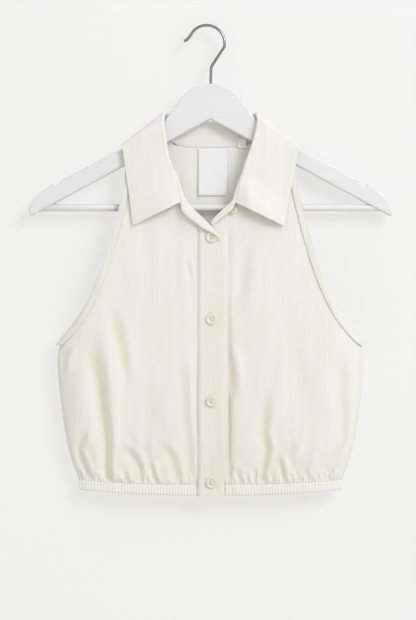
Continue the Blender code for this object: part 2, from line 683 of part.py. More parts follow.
def make_strip(collection):
    rows = steps(STRIP_TOP_ROW, 14, 14)[:-1] + steps(14, 16, 5)
    strip = cloth_wall("placket", strip_surface, steps(0, 1, 3), rows, STRIP_WALL, collection)
    finish(strip, WHITE_CLOTH, 0.85)


def make_collar(collection):
    stand_at = steps(0, 10, 20)[:-1] + steps(10, 15, 15)[:-1] + steps(15, 21, 8)[:-1]
    stand_at += steps(21, 26, 15)[:-1] + steps(26, 34, 16)
    stand = cloth_wall("collar_stand", stand_surface, stand_at, steps(0, 1, 3), STAND_WALL, collection)
    finish(stand, WHITE_CLOTH, 0.85)
    collar_at = steps(6, 10, 8)[:-1] + steps(10, 15, 15)[:-1] + steps(15, 21, 8)[:-1]
    collar_at += steps(21, 26, 15)[:-1] + steps(26, 30, 8)
    down = [0, FOLD_START] + steps(FOLD_START, FOLD_END, 3)[1:] + steps(FOLD_END, 1, 3)[1:]
    collar = cloth_wall("collar", collar_surface, collar_at, down, COLLAR_WALL, collection)
    finish(collar, WHITE_CLOTH, 0.85)


def make_bindings(collection):
    rows = [row for row in PANEL_ROWS if row < UNDERARM_ROW] + [UNDERARM_ROW - 0.1]

    def share_of_front(side):
        def share(distance, station):
            inner_x = station.over_x if side < 0 else station.under_x
            return distance / abs(side * station.outer_x - inner_x)
        return share

    def share_of_back(distance, station):
        return distance / station.outer_x

    columns = [0, 0.12, 0.35, 0.65, 1]

    def lifted(surface, lift):
        return lambda along, row: offset_from(surface, along, row, lift, columns, rows)

    def over_panel(distance_share, row):
        return over_front(1 - distance_share, row)

    def under_panel(distance_share, row):
        return under_front(distance_share, row)

    def back_left(distance_share, row):
        return back_surface(distance_share - 1, row)

    def back_right(distance_share, row):
        return back_surface(1 - distance_share, row)

    for name, panel, share, lift in (
            ("binding_front_right", over_panel, share_of_front(-1), -BINDING_LIFT),
            ("binding_front_left", under_panel, share_of_front(1), BINDING_LIFT),
            ("binding_back_right", back_left, share_of_back, BINDING_LIFT),
            ("binding_back_left", back_right, share_of_back, -BINDING_LIFT)):
        surface = lifted(binding_surface(panel, share), lift)
        binding = cloth_wall(name, surface, columns, rows, BINDING_WALL, collection)
        finish(binding, WHITE_CLOTH, 0.85)


def make_band(collection):
    def ribs(column):
        return RIB_HEIGHT if column % 2 else 0.0

    for name, surface, count in (
            ("hem_front_right", over_band, RIBS_FRONT),
            ("hem_front_left", under_band, RIBS_FRONT + 6),
            ("hem_back", back_band, RIBS_BACK)):
        band = cloth_wall(name, surface, steps(0, 1, 2 * count), [0, 1], BAND_WALL, collection, ribs)
        finish(band, BAND_CLOTH, 0.85)


def make_button(name, place, facing, share, collection):
    """A shallow dished button: where the middle of its back is, which way it faces, its share of full size."""
    mesh = bmesh.new()
    unit = share * MM
    points = [mesh.verts.new((radius * unit, 0, height * unit)) for radius, height in BUTTON_SECTION]
    for first, second in zip(points, points[1:]):
        mesh.edges.new((first, second))
    button = object_from(mesh, name, collection)
    turn = button.modifiers.new("Turned", "SCREW")
    turn.steps = turn.render_steps = BUTTON_STEPS
    turn.use_merge_vertices = True
    turn.merge_threshold = 0.00001
    button.location = place * MM
    button.rotation_euler = facing.to_track_quat("Z", "Y").to_euler()
    finish(button, BUTTON_CREAM, 0.35)


def strip_face_at(z):
    """The y of the button strip's outer face at a height, behind a button."""
    row = STRIP_TOP_ROW
    while row < HEM_ROW + 1 and strip_surface(0.5, row).z > z:
        row += 0.02
    return min(strip_surface(share, row).y for share in (0.2, 0.5, 0.8)) - STRIP_WALL / 2


def make_buttons(collection):
    for index in range(BUTTON_COUNT):
        z = BUTTON_FIRST_Z - index * BUTTON_PITCH
        above, below = strip_face_at(z + BUTTON_RADIUS), strip_face_at(z - BUTTON_RADIUS)
        face = min(strip_face_at(z), (above + below) / 2)
        place = Vector((BUTTON_X, face - 1.5 * SEAM_GAP, z))
        facing = Vector((0, -2 * BUTTON_RADIUS, above - below))
        make_button(f"button_{index + 1}", place, facing, 1.0, collection)


def make_stand_button(collection):
    """The smaller button on the outer side of the open stand, in the groove between stand and panel."""
    neck, _, roll = stand_section(STAND_BUTTON_AT)
    outward = (roll - neck) * Vector((1, 0, 1))
    outward.normalize()
    place = neck + outward * STAND_BUTTON_OUT
    place.y = STAND_BUTTON_Y
    tilt = math.radians(STAND_BUTTON_TILT)
    facing = outward * math.sin(tilt) + Vector((0, math.cos(tilt), 0))
    make_button("button_stand", place, facing, STAND_BUTTON_SHARE, collection)


def make_labels(collection):
    for label in LABELS:
        surface = label_surface(label)
        item = cloth_wall(label.name, surface, steps(0, 1, 4), steps(0, 1, 4), LABEL_WALL, collection)
        finish(item, LABEL_WHITE, 0.6)


def hanger_outline():
    """The hanger's closed outline, anticlockwise seen from the front."""
    hump = []
    for index in range(5):
        angle = math.radians(HUMP_END_ANGLE) * index / 4
        hump.append((HUMP_RADIUS * math.sin(angle), HUMP_CENTRE_Z + HUMP_RADIUS * math.cos(angle)))
    right = hump[1:] + NECK_OF_HANGER + NOTCH_AND_TIP
    left = [(-x, z) for x, z in reversed(right)]
    return [hump[0]] + right + [(0, UNDERSIDE_APEX_Z)] + left


def make_bore(side, cutters):
    """The cutter for the seat of the trouser bar in one arm."""
    length = BAR_END_X + 0.4 - BORE_START_X
    mesh = bmesh.new()
    bmesh.ops.create_cone(mesh, cap_ends=True, segments=20, radius1=BORE_RADIUS * MM,
                          radius2=BORE_RADIUS * MM, depth=length * MM)
    bore = object_from(mesh, f"bore_{side}", cutters)
    bore.rotation_euler = (0, math.radians(90), 0)
    bore.location = Vector((side * (BORE_START_X + length / 2), 0, BAR_Z)) * MM
    bore.hide_render = True
    bore.display_type = "WIRE"
    return bore


def make_wood(collection, cutters):
    mesh = bmesh.new()
    points = [mesh.verts.new((x * MM, -WOOD_HALF_THICKNESS * MM, z * MM)) for x, z in hanger_outline()]
    face = mesh.faces.new(points)
    pulled = bmesh.ops.extrude_face_region(mesh, geom=[face], use_keep_orig=True)
    moved = [item for item in pulled["geom"] if isinstance(item, bmesh.types.BMVert)]
    bmesh.ops.translate(mesh, verts=moved, vec=(0, 2 * WOOD_HALF_THICKNESS * MM, 0))
    bmesh.ops.recalc_face_normals(mesh, faces=mesh.faces[:])
    rims = [edge for edge in mesh.edges if abs(edge.verts[0].co.y - edge.verts[1].co.y) < MM]
    bmesh.ops.bevel(mesh, geom=rims, offset=WOOD_EDGE_ROUND * MM, offset_type="OFFSET", segments=2,
                    profile=0.5, affect="EDGES", clamp_overlap=True, material=-1)
    wood = object_from(mesh, "hanger_body", collection)
    for side in (-1, 1):
        cut = wood.modifiers.new(f"Bar seat {side}", "BOOLEAN")
        cut.operation = "DIFFERENCE"
        cut.solver = "EXACT"
        cut.object = make_bore(side, cutters)
    finish(wood, PAINTED_WOOD, 0.45)


def make_bar(collection):
    mesh = bmesh.new()
    bmesh.ops.create_cone(mesh, cap_ends=True, segments=20, radius1=BAR_RADIUS * MM,
                          radius2=BAR_RADIUS * MM, depth=2 * BAR_END_X * MM)
    bar = object_from(mesh, "hanger_bar", collection)
    bar.rotation_euler = (0, math.radians(90), 0)
    bar.location = (0, 0, BAR_Z * MM)
    finish(bar, PAINTED_WOOD, 0.45)


def hook_route():
    """The middle line of the hook's wire, from the wood up and round to its free end."""
    route = [(0.0, HUMP_CENTRE_Z + HUMP_RADIUS + SEAM_GAP)] + HOOK_SHANK
    for angle in range(HOOK_FIRST_ANGLE, HOOK_LAST_ANGLE, HOOK_ANGLE_STEP):
        turned = math.radians(angle)
        x = HOOK_CENTRE_X + HOOK_RADIUS * math.cos(turned)
        route.append((x, HOOK_CENTRE_Z + HOOK_RADIUS * math.sin(turned)))
    return route + HOOK_TIP


def make_hook(collection):
    curve = bpy.data.curves.new("hanger_hook", "CURVE")
    curve.dimensions = "3D"
    curve.bevel_depth = WIRE_RADIUS * MM
    curve.bevel_resolution = 2
    curve.use_fill_caps = True
    route = hook_route()
    wire = curve.splines.new("POLY")
    wire.points.add(len(route) - 1)
    for point, (x, z) in zip(wire.points, route):
        point.co = (x * MM, 0, z * MM, 1)
    hook = bpy.data.objects.new("hanger_hook", curve)
    collection.objects.link(hook)
    finish(hook, STEEL, 0.25, 1.0)


def main():
    for item in list(bpy.data.objects):
        bpy.data.objects.remove(item, do_unlink=True)
    collection = bpy.data.collections.new("crop_top_on_hanger")
    cutters = bpy.data.collections.new("cutters")
    for group in (collection, cutters):
        bpy.context.scene.collection.children.link(group)
    make_panels(collection)
    make_strip(collection)
    make_collar(collection)
    make_bindings(collection)
    make_band(collection)
    make_buttons(collection)
    make_stand_button(collection)
    make_labels(collection)
    make_wood(collection, cutters)
    make_bar(collection)
    make_hook(collection)


main()
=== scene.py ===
# %% [markdown]
# # A sleeveless crop top on its hanger
#
# The garment is a small ivory cotton top: two fronts that button over each other, a back, a pointed
# collar on a stand, a narrow binding round each armhole and an elastic hem. It hangs on a flat wooden
# hanger painted white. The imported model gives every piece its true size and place, and this script
# gives each of them its cloth, creases, stitches and finish.

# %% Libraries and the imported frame
import json
import math
import random
from collections import namedtuple

import bmesh
import bpy
import numpy as np
from mathutils import Matrix, Vector, noise
from mathutils.bvhtree import BVHTree
from mathutils.kdtree import KDTree

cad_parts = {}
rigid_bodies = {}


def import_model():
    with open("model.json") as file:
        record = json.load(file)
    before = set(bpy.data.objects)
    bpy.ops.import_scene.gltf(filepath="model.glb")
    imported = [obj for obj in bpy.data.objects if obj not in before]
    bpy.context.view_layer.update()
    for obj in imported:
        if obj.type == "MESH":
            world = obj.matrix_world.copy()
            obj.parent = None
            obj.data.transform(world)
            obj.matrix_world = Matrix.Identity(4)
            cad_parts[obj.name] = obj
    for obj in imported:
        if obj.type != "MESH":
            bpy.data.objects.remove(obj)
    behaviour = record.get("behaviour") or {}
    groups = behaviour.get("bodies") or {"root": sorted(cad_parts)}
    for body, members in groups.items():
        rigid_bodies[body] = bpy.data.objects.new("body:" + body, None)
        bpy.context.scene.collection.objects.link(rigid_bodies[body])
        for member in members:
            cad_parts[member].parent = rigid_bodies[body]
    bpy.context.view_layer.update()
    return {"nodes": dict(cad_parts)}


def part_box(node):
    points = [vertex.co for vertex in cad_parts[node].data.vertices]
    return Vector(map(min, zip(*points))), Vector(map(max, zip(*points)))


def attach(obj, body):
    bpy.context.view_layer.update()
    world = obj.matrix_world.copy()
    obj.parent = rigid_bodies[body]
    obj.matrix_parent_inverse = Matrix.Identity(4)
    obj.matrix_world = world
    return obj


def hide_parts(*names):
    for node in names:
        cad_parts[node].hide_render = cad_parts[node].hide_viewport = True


for leftover in list(bpy.data.objects):
    bpy.data.objects.remove(leftover, do_unlink=True)
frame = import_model()
MM = 0.001


def linked(name, data):
    """A new object of the scene that holds some data."""
    item = bpy.data.objects.new(name, data)
    bpy.context.scene.collection.objects.link(item)
    return item


print("loaded", len(frame["nodes"]), "nodes")

# %% [markdown]
# ## The camera
#
# A catalogue photograph like this one is taken from straight ahead and a good way off, so that the
# garment isn't foreshortened. One pixel of a picture 620 pixels tall covers 1.2155 mm of the garment.
# A camera 2 m away with that much in its view needs a lens of about 95 mm on a 36 mm frame.

# %% Camera
PICTURE_HEIGHT = 620 * 1.2155
CAMERA_DISTANCE = 2000.0
CAMERA_PLACE = (-3.2, -CAMERA_DISTANCE, -343.6)
FILM_HEIGHT = 36.0

camera_data = bpy.data.cameras.new("camera")
camera_data.sensor_fit = "VERTICAL"
camera_data.sensor_height = FILM_HEIGHT
camera_data.lens = FILM_HEIGHT * CAMERA_DISTANCE / PICTURE_HEIGHT
camera = linked("camera", camera_data)
camera.location = Vector(CAMERA_PLACE) * MM
camera.rotation_euler = (math.radians(90), 0, 0)
bpy.context.scene.camera = camera
bpy.context.scene.view_settings.view_transform = "Standard"
print("lens", round(camera_data.lens, 1), "mm")

# %% [markdown]
# ## Helpers for materials
#
# Colours are written as the hex codes that a picture program shows, and one function turns them into
# the linear numbers that a shader works with. A second one adds a node with its settings and links,
# so that a material reads as a short list of what happens to the light.

# %% Colours and nodes
def paint(hex_code):
    """An sRGB hex colour as linear red, green, blue and alpha."""
    channels = [int(hex_code[at:at + 2], 16) / 255 for at in (1, 3, 5)]
    return tuple(c / 12.92 if c <= 0.04045 else ((c + 0.055) / 1.055) ** 2.4 for c in channels) + (1.0,)


def add_node(tree, kind, settings=None, links=None):
    """A new node: settings are its own properties or its sockets' values, links feed its sockets."""
    node = tree.nodes.new("ShaderNode" + kind)
    for name, value in (settings or {}).items():
        if isinstance(name, int) or name in node.inputs:
            node.inputs[name].default_value = value
        else:
            setattr(node, name, value)
    for name, source in (links or {}).items():
        tree.links.new(source, node.inputs[name])
    return node


def new_material(name):
    """An empty node material: its tree and its output node."""
    material = bpy.data.materials.new(name)
    material.use_nodes = True
    tree = material.node_tree
    tree.nodes.clear()
    return material, tree, add_node(tree, "OutputMaterial")


def ramp(tree, source, low, high, low_at=0.3, high_at=0.7):
    """A colour ramp between two hex colours."""
    node = add_node(tree, "ValToRGB", links={"Fac": source})
    for element, place, colour in zip(node.color_ramp.elements, (low_at, high_at), (low, high)):
        element.position = place
        element.color = paint(colour)
    return node.outputs["Color"]


# %% [markdown]
# ## Plain-woven cotton
#
# The cloth is a light cotton poplin. Its threads are a third of a millimetre apart, far finer than a
# pixel, so the weave is drawn three times as coarse: two sets of fine bands, one for the warp and one
# for the weft, that give the surface a faint tooth. What the eye does see are slubs, the slightly
# thicker stretches of warp thread that run down the cloth, and a soft unevenness of tone. Light that
# bounces about inside the folds of unbleached cotton comes out warmer, and that warm shade is painted
# into the colour: an attribute called "fold", measured on the mesh further down, turns
# the colour a little towards cream deep in the creases.

# %% Cotton
THREAD_PITCH = 1.0
WAVE_PERIOD = 0.314
WEAVE_RELIEF = 0.12
SLUB_RELIEF = 0.4
SLUB_TONE = 0.6
SLUB_STRETCH = (1.0, 1.0, 0.07)
GLOW_REACH = (1.0, 0.82, 0.55)


def cotton(name, base, shade, fold):
    """Poplin: base where it is full, shade in its duller patches, painted warm shade deep in its creases.
    """
    material, tree, output = new_material(name)
    place = add_node(tree, "TexCoord").outputs["Object"]
    threads = {"Scale": WAVE_PERIOD / (THREAD_PITCH * MM), "Distortion": 0.6, "Detail Scale": 1.5}
    warp, weft = (add_node(tree, "TexWave", {"bands_direction": axis, **threads}, {"Vector": place})
                  for axis in "XZ")
    weave = add_node(tree, "Math", {"operation": "MULTIPLY"},
                     {0: warp.outputs["Fac"], 1: weft.outputs["Fac"]})
    thin_weave = add_node(tree, "Math", {"operation": "MULTIPLY", 1: WEAVE_RELIEF},
                          {0: weave.outputs["Value"]})
    stretched = add_node(tree, "Mapping", {"Scale": SLUB_STRETCH}, {"Vector": place}).outputs["Vector"]
    slubs = add_node(tree, "TexNoise", {"Scale": 420.0, "Detail": 3.0, "Roughness": 0.6},
                     {"Vector": stretched}).outputs["Fac"]
    patches = add_node(tree, "TexNoise", {"Scale": 90.0, "Detail": 3.0},
                       {"Vector": stretched}).outputs["Fac"]
    relief = add_node(tree, "Math", {"operation": "MULTIPLY_ADD", 1: SLUB_RELIEF},
                      {0: slubs, 2: thin_weave.outputs["Value"]})
    bump = add_node(tree, "Bump", {"Strength": 0.5, "Distance": 0.0004},
                    {"Height": relief.outputs["Value"]})
    tone = add_node(tree, "Math", {"operation": "MULTIPLY_ADD", 1: SLUB_TONE}, {0: slubs, 2: patches})
    colour = ramp(tree, tone.outputs["Value"], shade, base, 0.55, 1.0)
    # Painted shade: the colour is warmed towards cream where the mesh lies deep in a crease.
    depth = add_node(tree, "Attribute", {"attribute_name": "fold"})
    shade_warmed = add_node(tree, "Mix", {"data_type": "RGBA", "B": paint(fold)},
                      {"Factor": depth.outputs["Fac"], "A": colour})
    roughness = add_node(tree, "MapRange", {"To Min": 0.80, "To Max": 0.95}, {"Value": patches})
    shader = add_node(tree, "BsdfPrincipled",
                      {"Sheen Weight": 0.12, "Sheen Roughness": 0.5, "Specular IOR Level": 0.25,
                       "Subsurface Weight": 0.15, "Subsurface Radius": GLOW_REACH,
                       "Subsurface Scale": 0.002},
                      {"Base Color": shade_warmed.outputs["Result"], "Roughness": roughness.outputs["Result"],
                       "Normal": bump.outputs["Normal"]})
    tree.links.new(shader.outputs["BSDF"], output.inputs["Surface"])
    return material


# The last colour of each cotton is painted warm shade for the insides of creases.
PANEL_COTTON = cotton("ivory cotton poplin", "#F4F3ED", "#EFEDE5", "#F0DFB6")
STRIP_COTTON = cotton("ivory cotton poplin, two layers", "#F4F1EA", "#EFEBE2", "#F0DFB6")
BAND_COTTON = cotton("ivory cotton poplin over elastic", "#F6F4ED", "#F1EFE6", "#F0DFB6")
print("cotton in", len([m for m in bpy.data.materials if "cotton" in m.name]), "tones")

# %% [markdown]
# ## The other finishes
#
# Sewing thread is spun polyester with a slight gloss. The buttons are cast from cream resin, tumbled
# until they are satin. The labels are white satin tape, left bare. The hanger is beech sprayed with
# white enamel, smooth with the grain just felt through it, and its hook is nickel-plated steel wire.

# %% Thread, resin, tape, enamel and plated steel
def simple_finish(name, low, high, scale, stretch, shader_settings, bump_distance):
    """A Principled finish whose tone and relief follow one noise: scale in waves a metre."""
    material, tree, output = new_material(name)
    place = add_node(tree, "TexCoord").outputs["Object"]
    mapped = add_node(tree, "Mapping", {"Scale": stretch}, {"Vector": place})
    grain = add_node(tree, "TexNoise", {"Scale": scale, "Detail": 3.0},
                     {"Vector": mapped.outputs["Vector"]})
    bump = add_node(tree, "Bump", {"Strength": 0.4, "Distance": bump_distance},
                    {"Height": grain.outputs["Fac"]})
    colour = ramp(tree, grain.outputs["Fac"], low, high)
    shader = add_node(tree, "BsdfPrincipled", shader_settings,
                      {"Base Color": colour, "Normal": bump.outputs["Normal"]})
    tree.links.new(shader.outputs["BSDF"], output.inputs["Surface"])
    return material


THREAD = simple_finish("spun sewing thread", "#EAE6DA", "#F2EFE6", 900.0, (1, 1, 1),
                       {"Roughness": 0.65, "Sheen Weight": 0.1}, 0.00005)
RESIN = simple_finish("cast cream resin", "#E9E1CC", "#F0EAD9", 160.0, (1, 1, 1),
                      {"Roughness": 0.32, "IOR": 1.54, "Subsurface Weight": 0.15,
                       "Subsurface Radius": GLOW_REACH, "Subsurface Scale": 0.002}, 0.00002)
TAPE = simple_finish("white satin tape", "#F1F1F3", "#F7F7F9", 1400.0, (1, 1, 0.15),
                     {"Roughness": 0.5, "Sheen Weight": 0.2}, 0.00004)
ENAMEL = simple_finish("white enamel on beech", "#E9E9EB", "#EEEEF0", 260.0, (0.06, 1, 1),
                       {"Roughness": 0.38, "IOR": 1.5, "Coat Weight": 0.15, "Coat Roughness": 0.3},
                       0.00004)
STEEL = simple_finish("nickel-plated steel wire", "#909094", "#A8A8AC", 500.0, (1, 1, 1),
                      {"Metallic": 1.0, "Roughness": 0.22}, 0.00001)
print("finishes", [m.name for m in (THREAD, RESIN, TAPE, ENAMEL, STEEL)])

# %% [markdown]
# ## From a solid to cloth
#
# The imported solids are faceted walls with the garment's form and its largest folds. A copy of such a
# wall has its loose triangles merged and joined to quads, its rims marked as creases, and is then
# subdivided, which rounds the facets and gives enough points for small creases. The rims carry an
# attribute, so that seams can later be laid at a set distance from them. A few short helpers turn
# lists of points and half sections into objects, here and for the hard pieces further down.

# %% Fine copies of the cloth pieces
WELD = 0.01 * MM
RIM_ANGLE = math.radians(55)
SMOOTH_ANGLE = math.radians(50)
SOFT_RIM = 0.6
TAPE_RIM = 0.8


def finished_object(name, mesh, material):
    """A mesh as a smooth-shaded object of the scene with one material."""
    mesh.materials.clear()
    mesh.materials.append(material)
    item = linked(name, mesh)
    mesh.shade_smooth()
    mesh.set_sharp_from_angle(angle=SMOOTH_ANGLE)
    return item


def evaluated_mesh(item):
    """The mesh of an object with its modifiers applied; the object is removed."""
    graph = bpy.context.evaluated_depsgraph_get()
    mesh = bpy.data.meshes.new_from_object(item.evaluated_get(graph))
    bpy.data.objects.remove(item, do_unlink=True)
    return mesh


def data_of(mesh, name):
    """The data of a finished bmesh, which is freed."""
    data = bpy.data.meshes.new(name)
    mesh.to_mesh(data)
    mesh.free()
    return data


def turned(section, axis, steps):
    """A bmesh spun from half a section, given in metres as x and z, round an axis."""
    mesh = bmesh.new()
    ring = [mesh.verts.new((x, 0, z)) for x, z in section]
    edges = [mesh.edges.new(pair) for pair in zip(ring, ring[1:])]
    bmesh.ops.spin(mesh, geom=ring + edges, cent=(0, 0, 0), axis=axis, angle=2 * math.pi, steps=steps,
                   use_merge=True)
    bmesh.ops.remove_doubles(mesh, verts=mesh.verts[:], dist=WELD)
    bmesh.ops.recalc_face_normals(mesh, faces=mesh.faces[:])
    return mesh


def round_curve(name, radius, resolution):
    """A curve in space with a round section, its radius in millimetres."""
    curve = bpy.data.curves.new(name, "CURVE")
    curve.dimensions = "3D"
    curve.bevel_depth = radius * MM
    curve.bevel_resolution = resolution
    return curve


def add_run(curve, points):
    """A run of a curve through points in millimetres."""
    run = curve.splines.new("POLY")
    run.points.add(len(points) - 1)
    for point, (x, y, z) in zip(run.points, points):
        point.co = (x * MM, y * MM, z * MM, 1)
    return run


def fine_copy(node, name, material, levels, rim_crease=1.0):
    """A subdivided copy of a CAD node's wall, with its rims kept and marked."""
    mesh = bmesh.new()
    mesh.from_mesh(frame["nodes"][node].data)
    bmesh.ops.remove_doubles(mesh, verts=mesh.verts[:], dist=WELD)
    bmesh.ops.join_triangles(mesh, faces=mesh.faces[:], angle_face_threshold=math.pi,
                             angle_shape_threshold=math.pi)
    crease = mesh.edges.layers.float.new("crease_edge")
    rim = mesh.verts.layers.float.new("rim")
    for edge in mesh.edges:
        if edge.calc_face_angle(0) > RIM_ANGLE:
            edge[crease] = rim_crease
            for corner in edge.verts:
                corner[rim] = 1.0
    item = linked(name, data_of(mesh, name))
    finer = item.modifiers.new("Finer", "SUBSURF")
    finer.levels = levels
    finer.render_levels = levels
    return finished_object(name, evaluated_mesh(item), material)


def vectors_of(item, what):
    """One vector of each point of a mesh, a row each."""
    flat = np.empty(len(item.data.vertices) * 3, np.float32)
    item.data.vertices.foreach_get(what, flat)
    return flat.reshape(-1, 3).astype(float)


def points_of(item):
    """A mesh's points in millimetres."""
    return vectors_of(item, "co") / MM


def normals_of(item):
    """A mesh's directions outwards at its points."""
    return vectors_of(item, "normal")


def move_points(item, points):
    """Put a mesh's points back, given in millimetres."""
    item.data.vertices.foreach_set("co", (points * MM).astype(np.float32).ravel())
    item.data.update()


def surface_tree(*items):
    """A search tree over the surfaces of some objects, in millimetres."""
    corners, faces = [], []
    for item in items:
        start = len(corners)
        corners += [Vector(point) for point in points_of(item)]
        faces += [[start + corner for corner in face.vertices] for face in item.data.polygons]
    return BVHTree.FromPolygons(corners, faces)


def tree_of(nodes):
    """A search tree over the CAD surfaces of some nodes."""
    return surface_tree(*(frame["nodes"][node] for node in nodes))


# %% [markdown]
# ## Creases
#
# Cloth that hangs from a shoulder and is gathered into a tight band falls in long soft folds that
# start as nothing and tighten towards the band. Each one here is a path down the panel, with a width
# and a height. A "lap" has a trough on its left and a ridge on its right, which is how a fold looks
# that leans over. A "ridge" simply stands up, or lies in where its height is below nothing. Both skins
# of the wall move together, so the cloth keeps its thickness. Afterwards each point's depth is
# measured against the same mesh smoothed flat, which gives the "fold" attribute: a
# share of painted warm shade that the cloth's colour takes on in the creases.

# %% How a crease lifts the cloth
Crease = namedtuple("Crease", "kind height start_width end_width fades_out path")
PATH_STEPS = 6
ONSET = 0.35
# The painted warm shade: how far the mesh is smoothed to measure depth, and how strong the tint is.
PAINTED_SHADE_REACH = 36
PAINTED_SHADE_FULL_DEPTH = 1.8
PAINTED_SHADE_WARMTH = 0.36
PAINTED_SHADE_ON_FLAT = 0.2
REACH_IN_WIDTHS = 4
PAINTED_SHADE_START_Z = -320.0
PAINTED_SHADE_START_RUN = 50.0


def smoothstep(value):
    held = np.clip(value, 0.0, 1.0)
    return held * held * (3 - 2 * held)


def paint_fold_shade(item):
    """Store on each point a share of painted warm shade, more the deeper it lies in a crease."""
    points = points_of(item)
    ends = np.empty(len(item.data.edges) * 2, np.int32)
    item.data.edges.foreach_get("vertices", ends)
    start, end = ends.reshape(-1, 2).T
    neighbours = np.bincount(ends, minlength=len(points))
    smoothed = points.copy()
    for _ in range(PAINTED_SHADE_REACH):
        for axis in range(3):
            total = (np.bincount(start, smoothed[end, axis], len(points))
                     + np.bincount(end, smoothed[start, axis], len(points)))
            smoothed[:, axis] = total / neighbours
    depth = ((smoothed - points) * normals_of(item)).sum(axis=1)
    layer = item.data.attributes.new("fold", "FLOAT", "POINT")
    # Painted shade: lower down, the colour is warmed the more a point lies in a crease.
    lower = smoothstep((PAINTED_SHADE_START_Z - points[:, 2]) / PAINTED_SHADE_START_RUN)
    share = PAINTED_SHADE_WARMTH * lower * smoothstep(PAINTED_SHADE_ON_FLAT + depth / PAINTED_SHADE_FULL_DEPTH)
    layer.data.foreach_set("value", share.astype(np.float32))


def smooth_path(points, steps=PATH_STEPS):
    """Points along a Catmull-Rom curve through the given ones."""
    given = [np.array(point, float) for point in points]
    given = [2 * given[0] - given[1]] + given + [2 * given[-1] - given[-2]]
    path = []
    for before, start, end, after in zip(given, given[1:], given[2:], given[3:]):
        for step in range(steps):
            t = step / steps
            path.append(0.5 * (2 * start + (end - before) * t
                               + (2 * before - 5 * start + 4 * end - after) * t * t
                               + (3 * start - before - 3 * end + after) * t ** 3))
    return np.array(path + [given[-2]])


def crease_lift(crease, x, z):
    """How far one crease lifts each point, in millimetres."""
    path = smooth_path(crease.path)
    lengths = np.hypot(*np.diff(path, axis=0).T)
    travelled = np.concatenate([[0], np.cumsum(lengths)])
    nearest = np.full(len(x), np.inf)
    signed = np.zeros(len(x))
    share = np.zeros(len(x))
    for index, length in enumerate(lengths):
        step_x, step_z = path[index + 1] - path[index]
        off_x, off_z = x - path[index, 0], z - path[index, 1]
        t = np.clip((off_x * step_x + off_z * step_z) / length ** 2, 0, 1)
        gap_x, gap_z = off_x - t * step_x, off_z - t * step_z
        gap = np.hypot(gap_x, gap_z)
        closer = gap < nearest
        nearest[closer] = gap[closer]
        signed[closer] = np.sign(step_x * gap_z - step_z * gap_x)[closer] * gap[closer]
        share[closer] = (travelled[index] + t[closer] * length) / travelled[-1]
    width = crease.start_width + (crease.end_width - crease.start_width) * share
    strength = smoothstep(share / ONSET)
    if crease.fades_out:
        strength = strength * smoothstep((1 - share) / ONSET)
    across = signed / width
    if crease.kind == "lap":
        shape = across * np.exp(0.5 - 0.5 * across ** 2)
    else:
        shape = np.exp(-across ** 2)
    return crease.height * strength * shape


def lift_of_all(creases, x, z):
    """The lift of a whole table of creases."""
    total = np.zeros(len(x))
    for crease in creases:
        reach = REACH_IN_WIDTHS * max(crease.start_width, crease.end_width)
        path = np.array(crease.path, float)
        near = np.flatnonzero((x > path[:, 0].min() - reach) & (x < path[:, 0].max() + reach)
                              & (z > path[:, 1].min() - reach) & (z < path[:, 1].max() + reach))
        total[near] += crease_lift(crease, x[near], z[near])
    return total


# %% [markdown]
# The left panel as seen is the garment's own right front. It has one deep fold from the underarm to
# the band and many short ones. The other front is calmer, with a fold from the chest and one at the
# middle of its hem. The back hangs in similar folds of its own.

# %% Where the creases lie
def short_creases(*rows):
    """Short laps that stand on the band: height, then x and z of the top and of the foot."""
    return [Crease("lap", height, 3, 2.5, False, [(top_x, top_z), (foot_x, foot_z)])
            for height, top_x, top_z, foot_x, foot_z in rows]


RIGHT_FRONT_CREASES = [Crease(*row) for row in (
    ("lap", 3.4, 11, 4.5, False, [(-133, -353), (-136, -386), (-131, -420), (-126, -460),
                                  (-122, -499), (-122, -532), (-119, -549)]),
    ("ridge", -2.4, 13, 13, True, [(-28, -208), (-36, -228), (-42, -245), (-46, -272)]),
    ("lap", 0.8, 3, 3, True, [(-28, -281), (-23, -296), (-20, -314)]),
    ("lap", 1.3, 7, 5, True, [(-117, -322), (-109, -362), (-102, -398), (-99, -423), (-99, -443)]),
    ("lap", 1.5, 5, 4, True, [(-164, -375), (-173, -398), (-179, -425)]),
    ("lap", 0.7, 4, 4, True, [(-157, -366), (-164, -395)]),
    ("lap", 0.7, 9, 8, True, [(-164, -427), (-165, -447), (-170, -480)]),
    ("lap", 1.7, 5, 3, False, [(-154, -482), (-150, -497), (-156, -513), (-149, -534), (-142, -550)]),
    ("lap", 1.3, 4, 3, False, [(-164, -533), (-154, -549)]),
    ("lap", 0.7, 5, 4, True, [(-100, -483), (-93, -499), (-86, -514)]),
    ("lap", 1.8, 6, 3, False, [(-111, -505), (-95, -513), (-83, -533), (-83, -551)]),
    ("lap", 1.9, 4, 2.5, False, [(-71, -525), (-68, -539), (-63, -551)]),
    ("ridge", 0.9, 5, 4, True, [(-70, -492), (-72, -528)]),
    ("lap", 1.3, 6, 4, False, [(-60, -498), (-46, -516), (-40, -531), (-38, -550)]),
    ("lap", 1.3, 8, 5, False, [(-37, -387), (-29, -421), (-28, -460), (-24, -487), (-21, -513),
                               (-19, -541)]),
    ("lap", 0.7, 9, 8, True, [(-63, -431), (-63, -460), (-61, -493)]),
)] + short_creases((0.9, -139, -539, -134, -550), (0.8, -113, -538, -109, -551),
                   (0.8, -104, -533, -100, -551), (0.8, -79, -539, -75, -551))
